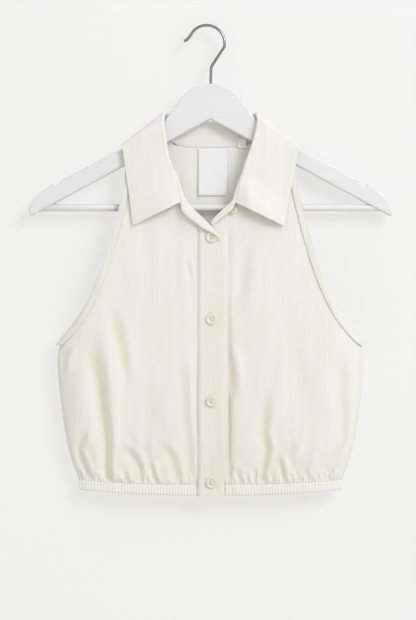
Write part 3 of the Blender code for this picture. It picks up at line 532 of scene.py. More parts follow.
LEFT_FRONT_CREASES = [Crease(*row) for row in (
    ("ridge", -1.8, 9, 9, True, [(47, -226), (44, -258), (41, -296), (40, -342)]),
    ("lap", 1.2, 10, 8, True, [(47, -249), (43, -285), (39, -331), (33, -368)]),
    ("lap", 1.5, 7, 6, True, [(21, -379), (22, -395), (28, -412), (30, -434), (28, -455)]),
    ("lap", 1.0, 4, 3, False, [(24, -525), (26, -538), (22, -554)]),
    ("lap", 2.3, 8, 3, False, [(67, -431), (71, -448), (70, -468), (67, -486), (68, -497),
                               (71, -511), (67, -533), (65, -544), (66, -553)]),
    ("lap", 0.9, 10, 9, True, [(110, -368), (112, -407), (118, -434), (116, -453), (120, -477)]),
    ("lap", 1.3, 8, 4, False, [(155, -381), (158, -407), (163, -427), (161, -447), (165, -480),
                               (163, -504), (157, -516), (150, -527), (145, -539), (143, -550)]),
    ("lap", 1.1, 5, 4, True, [(106, -502), (100, -516), (95, -528)]),
    ("lap", 1.7, 4, 2.5, False, [(86, -519), (88, -534), (92, -551)]),
    ("ridge", 1.1, 6, 4, True, [(131, -492), (125, -520), (120, -543)]),
    ("lap", 1.2, 4, 2.5, False, [(34, -532), (38, -551)]),
)] + short_creases((0.8, 45, -537, 46, -553), (1.0, 58, -531, 54, -553), (0.8, 77, -538, 78, -553),
                   (0.8, 96, -537, 99, -550), (0.8, 120, -539, 123, -550), (0.7, 135, -537, 134, -549))
BACK_CREASES = [Crease(*row) for row in (
    ("lap", 2.4, 9, 4, False, [(-131, -380), (-134, -430), (-129, -490), (-126, -550)]),
    ("lap", 1.2, 8, 6, True, [(-96, -352), (-90, -410), (-89, -470)]),
    ("lap", 1.8, 6, 3, False, [(-78, -488), (-68, -520), (-66, -551)]),
    ("lap", 1.2, 5, 3, False, [(-34, -505), (-29, -530), (-27, -553)]),
    ("lap", 1.5, 8, 4, False, [(14, -436), (21, -480), (20, -520), (18, -553)]),
    ("lap", 1.0, 10, 8, True, [(58, -390), (65, -440), (62, -500)]),
    ("lap", 1.7, 5, 3, False, [(96, -490), (88, -520), (90, -551)]),
    ("lap", 2.0, 8, 4, False, [(140, -420), (143, -470), (140, -515), (133, -550)]),
    ("ridge", 1.0, 6, 4, True, [(112, -480), (108, -512), (111, -545)]),
    ("lap", 1.1, 6, 5, True, [(-158, -400), (-164, -436), (-166, -470)]),
    ("lap", 0.9, 4, 3, False, [(-108, -532), (-104, -551)]),
    ("lap", 0.9, 4, 3, False, [(46, -530), (49, -552)]),
)]
print("creases", len(RIGHT_FRONT_CREASES), len(LEFT_FRONT_CREASES), len(BACK_CREASES))

# %% [markdown]
# ## Gathers
#
# The panels are wider than the stretched-out elastic, so they are gathered all the way along the
# band: a pucker every 6 or 7 mm, some running only a centimetre up the cloth and some two. They are
# made as short creases at uneven spacings, from a seeded random generator so that each run is alike.

# %% Gathers and the line of the hem
HEM_CENTRE_Z = -554.2
HEM_SIDE_RISE = 5.5
HEM_HALF_WIDTH = 159.4
HEM_RISE_POWER = 2.4
GATHER_PITCH = 6.4
GATHER_SPREAD = (0.7, 1.35)
GATHER_LENGTHS = (7, 20)
GATHER_LEANS = (-2.5, 2.5)
GATHER_HEIGHTS = (0.6, 1.2)
GATHER_WIDTHS = (2.2, 3.0)
GATHER_FOOT_WIDTH = 1.4
GATHER_BEND = (0.3, 0.45)


def hem_line(x):
    """Height of the seam between the panels and the band."""
    return HEM_CENTRE_Z + HEM_SIDE_RISE * (np.abs(x) / HEM_HALF_WIDTH) ** HEM_RISE_POWER


def gathers(left, right, seed):
    """Short uneven puckers above the band from one x to another."""
    draw = random.Random(seed)
    found = []
    x = left
    while x < right:
        length = draw.uniform(*GATHER_LENGTHS)
        lean = draw.uniform(*GATHER_LEANS)
        foot = float(hem_line(x))
        kind = draw.choice(("lap", "lap", "ridge"))
        bend = (x + lean * GATHER_BEND[0], foot + length * GATHER_BEND[1])
        path = [(x + lean, foot + length), bend, (x, foot)]
        found.append(Crease(kind, draw.uniform(*GATHER_HEIGHTS), draw.uniform(*GATHER_WIDTHS),
                            GATHER_FOOT_WIDTH, False, path))
        x += GATHER_PITCH * draw.uniform(*GATHER_SPREAD)
    return found


RIGHT_FRONT_GATHERS = gathers(-156, -24, 3)
LEFT_FRONT_GATHERS = gathers(30, 156, 4)
BACK_GATHERS = gathers(-156, 156, 5)
print("gathers", len(RIGHT_FRONT_GATHERS), len(LEFT_FRONT_GATHERS), len(BACK_GATHERS))

# %% [markdown]
# ## The three panels
#
# Each panel takes its creases and gathers, and a gentle unevenness that no pressed cotton is without.
# All of it dies away close to the pieces that lie on the panel, such as the binding and the button
# strip, so that nothing pokes through them. At the hem each panel runs down into the top of the band,
# just behind the band's face, and at the neck its edge is drawn up to the stand that it is sewn to.
# The left front dips where it comes out from under the strip.

# %% Panels
NEAR_NEIGHBOUR = 1.6
CLEAR_OF_NEIGHBOUR = 13.0
SEWN_HEIGHT = 4.5
SEWN_BEHIND = 0.35
SEWN_DOWN = 1.2
PANEL_THICKNESS = 1.2
BAND_PROBE = 3.0
FAR_OUT = 60.0
RIM_VALUE = 0.999
SEAM_REACH = 2.5
SEAM_OVERLAP = 0.2
CREASE_DEPTH = 1.35
STRIP_TOP = -236.0
STRIP_EDGE_LIFT = 0.9
STRIP_LIFT_X = (6.0, 14.0)
STRIP_LIFT_RUN = 30.0
STRIP_GROOVE = 2.0
STRIP_GROOVE_X = 21.5
STRIP_GROOVE_WIDTH = 4.2
GROOVE_RUNS = (20.0, 15.0)
SLIT_DEPTH = 2.2
SLIT_WIDTH = 2.2
SLIT_TOP = (-440.0, 20.0)
SLIT_FOOT = (-536.0, 14.0)
BROAD_DENTS = (0.55, 34.0, 60.0)
RIPPLES = (0.16, 8.0, 40.0)
CREASED_FROM = (17.0, 20.0)
CREASED_RUN = 8.0
MOST_TRIANGLES = 196000


def room_for_relief(points, neighbours):
    """From 0 beside a neighbouring piece to 1 well clear of it."""
    tree = tree_of(neighbours)
    room = np.ones(len(points))
    for index, point in enumerate(points):
        distance = tree.find_nearest(point, CLEAR_OF_NEIGHBOUR)[3]
        if distance is not None:
            room[index] = (distance - NEAR_NEIGHBOUR) / (CLEAR_OF_NEIGHBOUR - NEAR_NEIGHBOUR)
    return smoothstep(room)


def unevenness(points, seed):
    """Soft dents of a few centimetres and faint vertical ripples, in millimetres."""
    lifts = np.empty(len(points))
    for index, (x, _, z) in enumerate(points):
        lifts[index] = sum(height * noise.noise(Vector((x / width, seed + offset, z / length)))
                           for offset, (height, width, length) in ((0, BROAD_DENTS), (9, RIPPLES)))
    return lifts


def run_into_band(points, normals, outward, band_nodes):
    """Bring the bottom edge of a panel to just behind the band's face, and down into its top."""
    tree = tree_of(band_nodes)
    above = points[:, 2] - hem_line(points[:, 0])
    share = smoothstep(1 - above / SEWN_HEIGHT)
    skin = np.clip(outward * normals[:, 1], -1, 1)
    for index in np.flatnonzero(share > 0):
        x = points[index, 0]
        start = Vector((x, outward * FAR_OUT, float(hem_line(x)) - BAND_PROBE))
        face = tree.ray_cast(start, Vector((0, -outward, 0)))[0]
        if face is not None:
            depth = SEWN_BEHIND + PANEL_THICKNESS / 2 * (1 - skin[index])
            points[index, 1] += share[index] * (face.y - outward * depth - points[index, 1])
    points[:, 2] -= SEWN_DOWN * share


def rims_of(item):
    """The indices of the points on an item's rims."""
    flags = np.empty(len(item.data.vertices), np.float32)
    item.data.attributes["rim"].data.foreach_get("value", flags)
    return np.flatnonzero(flags > RIM_VALUE)


def close_seam(item, points, neighbours):
    """Draw rim points that stop just short of the next piece up to it, as the stitches do."""
    tree = tree_of(neighbours)
    for index in rims_of(item):
        place, _, _, distance = tree.find_nearest(points[index], SEAM_REACH)
        if place is not None and distance > 0:
            points[index] += (np.array(place) - points[index]) * (1 + SEAM_OVERLAP / distance)


def strip_edge_lift(x, z):
    """How far the button strip's free edge and the front below it stand forward, in millimetres."""
    starts, run = STRIP_LIFT_X
    return STRIP_EDGE_LIFT * smoothstep((x - starts) / run) * smoothstep((STRIP_TOP - z) / STRIP_LIFT_RUN)


def groove_beside_strip(x, z):
    """The left front dips where it comes out from under the strip, most where the two part low down."""
    down = smoothstep((STRIP_TOP - z) / GROOVE_RUNS[0]) * smoothstep((z - hem_line(x)) / GROOVE_RUNS[1])
    low_down = (smoothstep((SLIT_TOP[0] - z) / SLIT_TOP[1])
                * smoothstep((z - SLIT_FOOT[0]) / SLIT_FOOT[1]))
    beside = x - STRIP_GROOVE_X
    return -(STRIP_GROOVE * down * np.exp(-(beside / STRIP_GROOVE_WIDTH) ** 2)
             + SLIT_DEPTH * low_down * np.exp(-(beside / SLIT_WIDTH) ** 2))


def thinned(item):
    """The same item, with its flattest faces merged where it has more triangles than it needs."""
    triangles = sum(len(face.vertices) - 2 for face in item.data.polygons)
    if triangles <= MOST_TRIANGLES:
        return item
    name, material = item.name, item.data.materials[0]
    item.modifiers.new("Fewer", "DECIMATE").ratio = MOST_TRIANGLES / triangles
    return finished_object(name, evaluated_mesh(item), material)


def make_panel(node, outward, creases, gather_list, neighbours, seed, bands, under_strip, beside_strip):
    """One cloth panel with all its relief; under_strip gives its share that is free to crease, by x,
    and beside_strip how far it stands forward along the button strip."""
    panel = fine_copy(node, node + "_cloth", PANEL_COTTON, 3)
    points = points_of(panel)
    normals = normals_of(panel)
    x, z = points[:, 0], points[:, 2]
    lift = CREASE_DEPTH * lift_of_all(creases, x, z) + unevenness(points, seed)
    free = room_for_relief(points, neighbours) * under_strip(x)
    gathered = lift_of_all(gather_list, x, z) * under_strip(x)
    points[:, 1] += outward * (lift * free + gathered + beside_strip(x, z))
    run_into_band(points, normals, outward, bands)
    close_seam(panel, points, ["collar_stand"])
    move_points(panel, points)
    paint_fold_shade(panel)
    panel = thinned(panel)
    print(panel.name, len(panel.data.polygons), "faces")
    return panel


right_front = make_panel(
    "front_right", -1, RIGHT_FRONT_CREASES, RIGHT_FRONT_GATHERS,
    ["binding_front_right", "collar", "collar_stand", "back"], 1, ["hem_front_right"],
    lambda x: smoothstep((-CREASED_FROM[0] - x) / CREASED_RUN), strip_edge_lift)
left_front = make_panel(
    "front_left", -1, LEFT_FRONT_CREASES, LEFT_FRONT_GATHERS,
    ["binding_front_left", "collar", "collar_stand", "back"], 2, ["hem_front_left"],
    lambda x: smoothstep((x - CREASED_FROM[1]) / CREASED_RUN), groove_beside_strip)
back = make_panel(
    "back", 1, BACK_CREASES, BACK_GATHERS,
    ["binding_back_left", "binding_back_right", "collar", "collar_stand", "front_left", "front_right"],
    3, ["hem_back"], lambda x: np.ones(len(x)), lambda x, z: 0)

# %% [markdown]
# ## Seams and topstitching
#
# A topstitched seam is a row of stitches about 2.5 mm long, sunk a little into the cloth, a set
# distance from the edge. On a mesh, the points at one distance from the rim form a level line, like a
# height line on a map. The line is walked face by face, its pieces are chained, and a small rounded
# stitch is laid at each step. The cloth is pressed in along the same line.

# %% Level lines and stitches
STITCH_PITCH = 2.7
STITCH_SPAN = (0.1, 0.9)
STITCH_SIZE = (1.0, 0.24, 0.24)
STITCH_FACES = 20
GROOVE_DEPTH = 0.28
GROOVE_WIDTH = 0.9


def rim_distances(item, points):
    """Distance of each point to the nearest rim, in millimetres."""
    rims = rims_of(item)
    tree = KDTree(len(rims))
    for order, index in enumerate(rims):
        tree.insert(points[index], order)
    tree.balance()
    return np.array([tree.find(point)[2] for point in points])


def level_line(item, points, values, level, wanted):
    """Chains of places where values pass a level, over the faces whose middle is wanted."""
    links = {}
    places = {}
    for face in item.data.polygons:
        corners = list(face.vertices)
        inside = [values[corner] < level for corner in corners]
        if all(inside) or not any(inside) or not wanted(points[corners].mean(axis=0)):
            continue
        crossed = []
        for index, corner in enumerate(corners):
            following = corners[(index + 1) % len(corners)]
            if (values[corner] < level) != (values[following] < level):
                key = (min(corner, following), max(corner, following))
                low, high = values[key[0]], values[key[1]]
                along = (level - low) / (high - low)
                places[key] = points[key[0]] + (points[key[1]] - points[key[0]]) * along
                crossed.append(key)
        if len(crossed) == 2:
            links.setdefault(crossed[0], []).append(crossed[1])
            links.setdefault(crossed[1], []).append(crossed[0])
    return chained(links, places)


def chained(links, places):
    """The linked places as ordered runs, from their loose ends first."""
    runs = []
    seen = set()
    starts = [key for key in links if len(links[key]) == 1] + list(links)
    for start in starts:
        if start in seen:
            continue
        run = [start]
        seen.add(start)
        following = [key for key in links[start] if key not in seen]
        while following:
            run.append(following[0])
            seen.add(following[0])
            following = [key for key in links[following[0]] if key not in seen]
        runs.append(np.array([places[key] for key in run]))
    return runs


def even_steps(run, pitch):
    """Middle and direction of each step of an even length along a run of points."""
    lengths = np.linalg.norm(np.diff(run, axis=0), axis=1)
    travelled = np.concatenate([[0], np.cumsum(lengths)])
    count = int(travelled[-1] // pitch)
    for index in range(count):
        start, end = (np.array([np.interp((index + share) * pitch, travelled, run[:, axis])
                                for axis in range(3)]) for share in STITCH_SPAN)
        yield Vector((start + end) / 2), Vector(end - start)


def add_stitch(mesh, place, along, normal, size):
    """A small rounded stitch on a surface, its half size along, across and up in millimetres."""
    across = normal.cross(along).normalized()
    turn = Matrix((along, across, normal)).transposed().to_4x4()
    matrix = Matrix.Translation(place * MM) @ turn @ Matrix.Diagonal((*(Vector(size) * MM), 1))
    bmesh.ops.create_icosphere(mesh, subdivisions=1, radius=1.0, matrix=matrix)


def lay_stitches(name, runs, surface):
    """One mesh of small stitches along runs, turned to the surface below them."""
    mesh = bmesh.new()
    tree = surface_tree(surface)
    for run in runs:
        for middle, along in even_steps(run, STITCH_PITCH):
            place, normal, _, _ = tree.find_nearest(middle)
            along = normal.cross(along).cross(normal).normalized()
            add_stitch(mesh, place, along, normal, STITCH_SIZE)
    data = data_of(mesh, name)
    print(name, len(data.polygons) // STITCH_FACES, "stitches")
    return finished_object(name, data, THREAD)


def press_groove(item, points, values, level):
    """Press the cloth in along a level of values, both skins alike."""
    depth = GROOVE_DEPTH * np.exp(-((values - level) / GROOVE_WIDTH) ** 2)
    return points - normals_of(item) * depth[:, None]


# %% [markdown]
# ## Collar, stand, button strip and bindings
#
# The collar and its stand are two layers of cloth round an interlining, so they are stiffer and hold
# their shape. Both are topstitched near the edge, and the fall's free lower edges stand off the chest.
# The button strip is stitched only down its left edge, where it lies thin on the front, and its other
# edge is a plain fold that stands a little forward. A binding is a bias strip folded over the raw edge
# of the armhole and stitched through near its inner edge, which makes it ripple.

# %% Pieces with topstitching
RIPPLE_PITCH = 2.6
STITCHED_LEFT_OF = -8.0
SHORTEST_RUN = 6
FALL_CORNER = (36.0, -214.8)
FALL_SLOPE = 0.48
FALL_HINGE_HEIGHT = 42.0
FALL_BACK_Y = 4.0
FALL_LIFT_PLACES = (28, 36, 46, 60, 78, 92)
LEFT_FALL_LIFTS = (0.0, 2.0, 5.5, 5.0, 2.5, 1.0)
RIGHT_FALL_LIFTS = (0.0, 3.0, 7.5, 8.0, 6.5, 3.0)
COLLAR_STITCHED_AT = 5.2
STAND_STITCHED_AT = 2.2
STRIP_STITCHED_AT = 1.4
BINDING_STITCHED_AT = 1.5
BINDING_RIPPLE = 0.25
RIPPLE_FREE_OF_RIM = 2.0
STRIP_GAP = 0.45
STRIP_THINNED = 0.9
STRIP_SEWN_X = -15.0
STRIP_THIN_WIDTH = 3.0


def topstitched(node, material, levels, level, wanted, ripple=0.0, shift=None, sewn_to=()):
    """A fine copy of a node, moved by shift, with a row of stitches at a level from its rim."""
    item = fine_copy(node, node + "_cloth", material, levels, SOFT_RIM)
    points = points_of(item)
    values = rim_distances(item, points)
    if ripple:
        waves = np.array([noise.noise(Vector(point) / RIPPLE_PITCH) for point in points])
        points += normals_of(item) * (ripple * waves * smoothstep(values / RIPPLE_FREE_OF_RIM))[:, None]
    points = press_groove(item, points, values, level)
    if shift:
        points += shift(points, normals_of(item))
    if sewn_to:
        close_seam(item, points, sewn_to)
    move_points(item, points)
    paint_fold_shade(item)
    runs = [run for run in level_line(item, points, values, level, wanted) if len(run) > SHORTEST_RUN]
    return item, lay_stitches(node + "_stitches", runs, item)


def everywhere(_place):
    return True


def forward(amounts):
    """Shifts towards the viewer by the given amounts."""
    return np.outer(-amounts, (0, 1, 0))


def collar_off_chest(points, _normals):
    """The fall's free lower edges stand off the chest, most beside the neck."""
    x, z = points[:, 0], points[:, 2]
    lifted = np.zeros(len(points))
    for side, lifts in ((-1, LEFT_FALL_LIFTS), (1, RIGHT_FALL_LIFTS)):
        across = np.abs(x)
        edge_z = FALL_CORNER[1] - FALL_SLOPE * (across - FALL_CORNER[0])
        rise = smoothstep(1 - (z - edge_z) / FALL_HINGE_HEIGHT)
        lifted += (x * side > 0) * rise * np.interp(across, FALL_LIFT_PLACES, lifts)
    return forward(lifted * (points[:, 1] < FALL_BACK_Y))


def strip_shaped(points, normals):
    """The strip lies down thin at its sewn edge, and its folded edge stands forward."""
    x, z = points[:, 0], points[:, 2]
    outer = smoothstep(0.5 - normals[:, 1])
    sewn = smoothstep(1 - (x - STRIP_SEWN_X) / STRIP_THIN_WIDTH)
    return forward(strip_edge_lift(x, z) - (STRIP_GAP + STRIP_THINNED * outer) * sewn)


collar, collar_stitches = topstitched("collar", PANEL_COTTON, 3, COLLAR_STITCHED_AT, everywhere,
                                      shift=collar_off_chest, sewn_to=("collar_stand",))
stand, stand_stitches = topstitched("collar_stand", PANEL_COTTON, 2, STAND_STITCHED_AT, everywhere)
strip, strip_stitches = topstitched("placket", STRIP_COTTON, 3, STRIP_STITCHED_AT,
                                    lambda place: place[0] < STITCHED_LEFT_OF, shift=strip_shaped)
bindings = [topstitched(f"binding_{layer}_{binding_side}", STRIP_COTTON, 2, BINDING_STITCHED_AT,
                        everywhere, BINDING_RIPPLE)
            for binding_side in ("right", "left") for layer in ("front", "back")]
print("bindings", len(bindings))

# %% [markdown]
# ## Hem band
#
# The band is cotton sewn over elastic and let go, so that it shrinks to fine upright ribs 3.6 mm
# apart. The solid has the ribs, and a finer copy of it rounds them. Its top is drawn in where the panel
# is sewn to it, and beside the buttons the left front's ribs are pulled aslant.

# %% Hem band
BAND_TOP_THINNED = 0.3
BAND_TOP_REACH = 1.5
LEAN_STARTS = 8.0
LEAN_RUNS = 95.0
RIB_LEAN = 0.24
LEAN_FROM = 16.0


def lean_of_ribs(x, below):
    """How far slanting ribs are shifted to the right, most near the buttons, nothing at the seam."""
    away = x - LEAN_FROM
    held = smoothstep(away / LEAN_STARTS) * smoothstep((LEAN_RUNS - away) / LEAN_RUNS)
    return RIB_LEAN * held * np.clip(below, 0, None)


def make_band(node, outward, slanting=False):
    """One run of the band, its top edge drawn in where the panel is sewn to it."""
    band = fine_copy(node, node + "_cloth", BAND_COTTON, 2, SOFT_RIM)
    points = points_of(band)
    outer = smoothstep(0.5 + outward * normals_of(band)[:, 1])
    below = hem_line(points[:, 0]) - points[:, 2]
    points[:, 1] -= outward * BAND_TOP_THINNED * outer * smoothstep(1 - below / BAND_TOP_REACH)
    if slanting:
        points[:, 0] += lean_of_ribs(points[:, 0], below)
    move_points(band, points)
    return band


hems = [make_band("hem_front_right", -1), make_band("hem_front_left", -1, slanting=True),
        make_band("hem_back", 1)]
print("hem pieces", [hem.name for hem in hems])

# %% [markdown]
# ## Labels
#
# A folded satin label hangs inside the back of the neck, with a small size tab beside it. Both are
# left bare. They are fine copies of their solids in satin tape.

# %% Labels
labels = [fine_copy(node, node + "_tape", TAPE, 2, TAPE_RIM) for node in ("neck_label", "size_tab")]
print("labels", [label.name for label in labels])

# %% [markdown]
# ## Buttons
#
# A four-hole shirt button is turned: half its section, spun round its axis, gives a dished face inside
# a raised rim. The four holes are bored with a Boolean, and a crossed thread holds it. One button is
# made at the origin, and each copy is turned to the plane of its solid, which is found as the
# direction in which the solid's points spread least.

# %% Buttons
BUTTON_RADIUS = 6.9
BUTTON_SECTION = [(0.0, 1.35), (3.6, 1.35), (4.3, 1.55), (4.9, 2.0), (5.5, 2.2), (6.1, 2.1), (6.6, 1.7),
                  (6.9, 1.1), (6.7, 0.5), (6.1, 0.1), (4.0, 0.0), (0.0, 0.0)]
BUTTON_STEPS = 48
HOLE_RADIUS = 0.85
HOLE_PLACE = 1.75
HOLE_ANGLES = (45, 135, 225, 315)
DRILL_LENGTH = 8.0
DRILL_SIDES = 16
BUTTON_THREAD_RADIUS = 0.36
THREAD_BESIDE = 0.32
THREAD_TOPS = (2.0, 2.25)
THREAD_HALF = [(-1.9, 0.4), (-1.6, 1.3), (-1.0, 1.8)]
BUTTON_TURNS = {"button_1": 12, "button_2": -7, "button_3": 4, "button_4": -10, "button_stand": 20}


def turned_button():
    """A button with four holes, its back at the origin and its face towards +Z."""
    section = [(radius * MM, height * MM) for radius, height in BUTTON_SECTION]
    disc = linked("button", data_of(turned(section, (0, 0, 1), BUTTON_STEPS), "button"))
    drills = bmesh.new()
    for turn in HOLE_ANGLES:
        place = Matrix.Rotation(math.radians(turn), 4, "Z") @ Vector((HOLE_PLACE * MM, 0, 0))
        bmesh.ops.create_cone(drills, cap_ends=True, segments=DRILL_SIDES, radius1=HOLE_RADIUS * MM,
                              radius2=HOLE_RADIUS * MM, depth=DRILL_LENGTH * MM,
                              matrix=Matrix.Translation(place))
    drill = linked("drills", data_of(drills, "drills"))
    bore = disc.modifiers.new("Holes", "BOOLEAN")
    bore.operation = "DIFFERENCE"
    bore.solver = "EXACT"
    bore.object = drill
    bored = evaluated_mesh(disc)
    bpy.data.objects.remove(drill, do_unlink=True)
    return bored


def crossed_thread():
    """The crossed thread over a button's holes, as one mesh."""
    curve = round_curve("thread", BUTTON_THREAD_RADIUS, 3)
    for turn, top in zip(HOLE_ANGLES[:2], THREAD_TOPS):
        across = Matrix.Rotation(math.radians(turn), 4, "Z")
        for beside in (-THREAD_BESIDE, THREAD_BESIDE):
            other = [(-along, height) for along, height in reversed(THREAD_HALF)]
            route = THREAD_HALF + [(0, top)] + other
            add_run(curve, [across @ Vector((along, beside, height)) for along, height in route])
    return evaluated_mesh(linked("thread", curve))


def plane_of(node):
    """Middle, outward direction and share of full size of a button's solid."""
    points = points_of(frame["nodes"][node])
    unique = np.unique(np.round(points, 3), axis=0)
    low, high = unique.min(axis=0), unique.max(axis=0)
    middle = (low + high) / 2
    outward = np.linalg.svd(unique - unique.mean(axis=0))[2][2]
    if outward[1] > 0:
        outward = -outward
    spread = np.linalg.norm(np.cross(unique - middle, outward), axis=1).max()
    back_face = ((unique - middle) @ outward).min()
    return Vector(middle + outward * back_face), Vector(outward), spread / BUTTON_RADIUS


plain_button, plain_thread = turned_button(), crossed_thread()
buttons, button_threads = [], []
for node, degrees in BUTTON_TURNS.items():
    back_middle, outward, share = plane_of(node)
    turn = outward.to_track_quat("Z", "Y").to_matrix().to_4x4()
    spin = Matrix.Rotation(math.radians(degrees), 4, "Z")
    place = Matrix.Translation(back_middle * MM) @ turn @ spin @ Matrix.Scale(share, 4)
    for source, ending, material, kept in ((plain_button, "_turned", RESIN, buttons),
                                           (plain_thread, "_thread", THREAD, button_threads)):
        copy = source.copy()
        copy.transform(place)
        kept.append(finished_object(node + ending, copy, material))
print("buttons", [item.name for item in buttons])

# %% [markdown]
# ## Buttonholes
#
# Each button goes through an upright slit in the strip, edged with close stitches across it. Only the
# two ends of the slit show, above and below the button, so the edging is laid as two rows of short
# stitches on the strip's face.

# %% Buttonholes
SLIT_HALF_LENGTH = 8.8
SLIT_EDGE = 0.62
EDGING_PITCH = 0.62
EDGING_SIZE = (0.62, 0.27, 0.3)


def edge_buttonhole(mesh, tree, x, z):
    """Close stitches across both sides of one upright slit."""
    for index in range(int(2 * SLIT_HALF_LENGTH / EDGING_PITCH) + 1):
        height = z - SLIT_HALF_LENGTH + index * EDGING_PITCH
        for side in (-1, 1):
            start = Vector((x + side * SLIT_EDGE, -FAR_OUT, height))
            place, normal, _, _ = tree.ray_cast(start, Vector((0, 1, 0)))
            if place is not None:
                add_stitch(mesh, place, Vector((1, 0, 0)), normal, EDGING_SIZE)


edging = bmesh.new()
strip_tree = surface_tree(strip)
for node in ("button_1", "button_2", "button_3"):
    low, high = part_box(node)
    middle = (low + high) / 2 / MM
    edge_buttonhole(edging, strip_tree, middle.x, middle.z)
buttonholes = finished_object("buttonholes", data_of(edging, "buttonholes"), THREAD)
print("buttonhole stitches", len(buttonholes.data.polygons) // STITCH_FACES)

# %% [markdown]
# ## Hanger
#
# The hanger is cut from a flat board: a round hump in the middle, a hollow neck, long straight arms,
# a notch for shoulder straps and a rounded tip. Its outline is a closed flat curve with a thickness
# and a rounded bevel, which a router gives the real one. The trouser bar is a dowel set into the arms.

# %% Hanger
WOOD_HALF_THICKNESS = 6.0
WOOD_EDGE_ROUND = 2.2
HUMP_RADIUS = 46.0
HUMP_CENTRE_Z = -115.0
HUMP_END_ANGLE = 56.6
HUMP_STEPS = 16
OUTLINE_STEPS = 4
NECK_OF_HANGER = [(46.9, -101.7), (50.0, -106.5), (55.4, -113.6), (59.5, -121.4), (64.0, -126.8),
                  (70.0, -130.2), (76.0, -131.8)]
NOTCH_AND_TIP = [(181.2, -186.1), (184.3, -191.6), (188.0, -192.4), (191.4, -190.6), (200.0, -195.8),
                 (208.6, -202.6), (214.5, -209.4), (218.8, -216.4), (220.5, -223.2), (219.6, -228.3),
                 (216.2, -228.6)]
UNDERSIDE_APEX_Z = -111.9
BAR_EDGE = 0.5
SLEEVE_END = -112.6
SLEEVE_STEP = 0.35
SLEEVE_SLOPE = 0.3


def wood_outline():
    """The hanger's closed outline as x and z, with its curves drawn smooth."""
    hump = []
    for index in range(HUMP_STEPS + 1):
        angle = math.radians(HUMP_END_ANGLE) * index / HUMP_STEPS
        hump.append((HUMP_RADIUS * math.sin(angle), HUMP_CENTRE_Z + HUMP_RADIUS * math.cos(angle)))
    neck = [tuple(point) for point in smooth_path([hump[-1]] + NECK_OF_HANGER, OUTLINE_STEPS)][1:]
    tip = [tuple(point) for point in smooth_path(NOTCH_AND_TIP, OUTLINE_STEPS)]
    right = hump[1:] + neck + tip
    left = [(-x, z) for x, z in reversed(right)]
    return [hump[0]] + right + [(0, UNDERSIDE_APEX_Z)] + left


def make_wood():
    """The board, filled between its two faces, with its edge rounded inwards."""
    curve = round_curve("hanger_wood", WOOD_EDGE_ROUND, 5)
    curve.dimensions = "2D"
    curve.fill_mode = "BOTH"
    curve.extrude = (WOOD_HALF_THICKNESS - WOOD_EDGE_ROUND) * MM
    curve.offset = -WOOD_EDGE_ROUND * MM
    add_run(curve, [(x, z, 0) for x, z in wood_outline()]).use_cyclic_u = True
    mesh = evaluated_mesh(linked("hanger_wood", curve))
    mesh.transform(Matrix.Rotation(math.radians(90), 4, "X"))
    return finished_object("hanger_wood", mesh, ENAMEL)


def make_bar():
    """The dowel, turned from a half section with rounded ends, and the sleeve at its left end."""
    low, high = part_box("hanger_bar")
    radius = (high.z - low.z) / 2
    edge, step, sleeve_end = BAR_EDGE * MM, SLEEVE_STEP * MM, SLEEVE_END * MM
    section = [(low.x, 0), (low.x, radius - edge), (low.x + edge, radius), (sleeve_end, radius),
               (sleeve_end + SLEEVE_SLOPE * MM, radius - step), (high.x - edge, radius - step),
               (high.x, radius - step - edge), (high.x, 0)]
    mesh = turned(section, (1, 0, 0), BUTTON_STEPS)
    bmesh.ops.translate(mesh, verts=mesh.verts[:], vec=(0, 0, (high.z + low.z) / 2))
    return finished_object("hanger_dowel", data_of(mesh, "hanger_dowel"), ENAMEL)


hanger_wood, hanger_dowel = make_wood(), make_bar()
print("hanger", len(hanger_wood.data.polygons), "faces in the wood")

# %% [markdown]
# The hook is one length of round wire: straight out of the wood, then bent to an open arc with its
# tip turned out so that it catches nothing. A curve with a round bevel is the natural way to draw it.

# %% Hook
WIRE_RADIUS = 1.8
HOOK_RADIUS = 21.8
HOOK_CENTRE = (-4.9, -19.3)
HOOK_SHANK = [(0.0, -68.7), (0.2, -58.0), (0.6, -50.0), (1.8, -46.4), (4.0, -42.8), (13.4, -28.4)]
HOOK_TIP = [(-28.2, -14.4), (-30.2, -16.0), (-32.6, -16.7)]
ARC_ANGLES = range(-12, 164, 11)
HOOK_STEPS = 5


def make_hook():
    """The wire, with its two ends closed."""
    arc = [(HOOK_CENTRE[0] + HOOK_RADIUS * math.cos(math.radians(angle)),
            HOOK_CENTRE[1] + HOOK_RADIUS * math.sin(math.radians(angle))) for angle in ARC_ANGLES]
    curve = round_curve("hook_wire", WIRE_RADIUS, 6)
    curve.use_fill_caps = True
    add_run(curve, [(x, 0, z) for x, z in smooth_path(HOOK_SHANK + arc + HOOK_TIP, HOOK_STEPS)])
    return finished_object("hook_wire", evaluated_mesh(linked("hook_wire", curve)), STEEL)


hook = make_hook()
print("hook", len(hook.data.polygons), "faces")

# %% [markdown]
# ## Wall, floor and light
#
# The garment hangs close to a white wall, and a large soft light, a little cool, stands to the right
# and above, so each fold is darker on its left. The rest of the light comes from all round and is a
# little warm, as it is where white cloth throws it back. The wall glows like the lit backdrop of a
# studio and catches the garment's soft shadow, but throws no light on the cloth. Its back lets the
# view through, so that the garment can be looked at from behind.

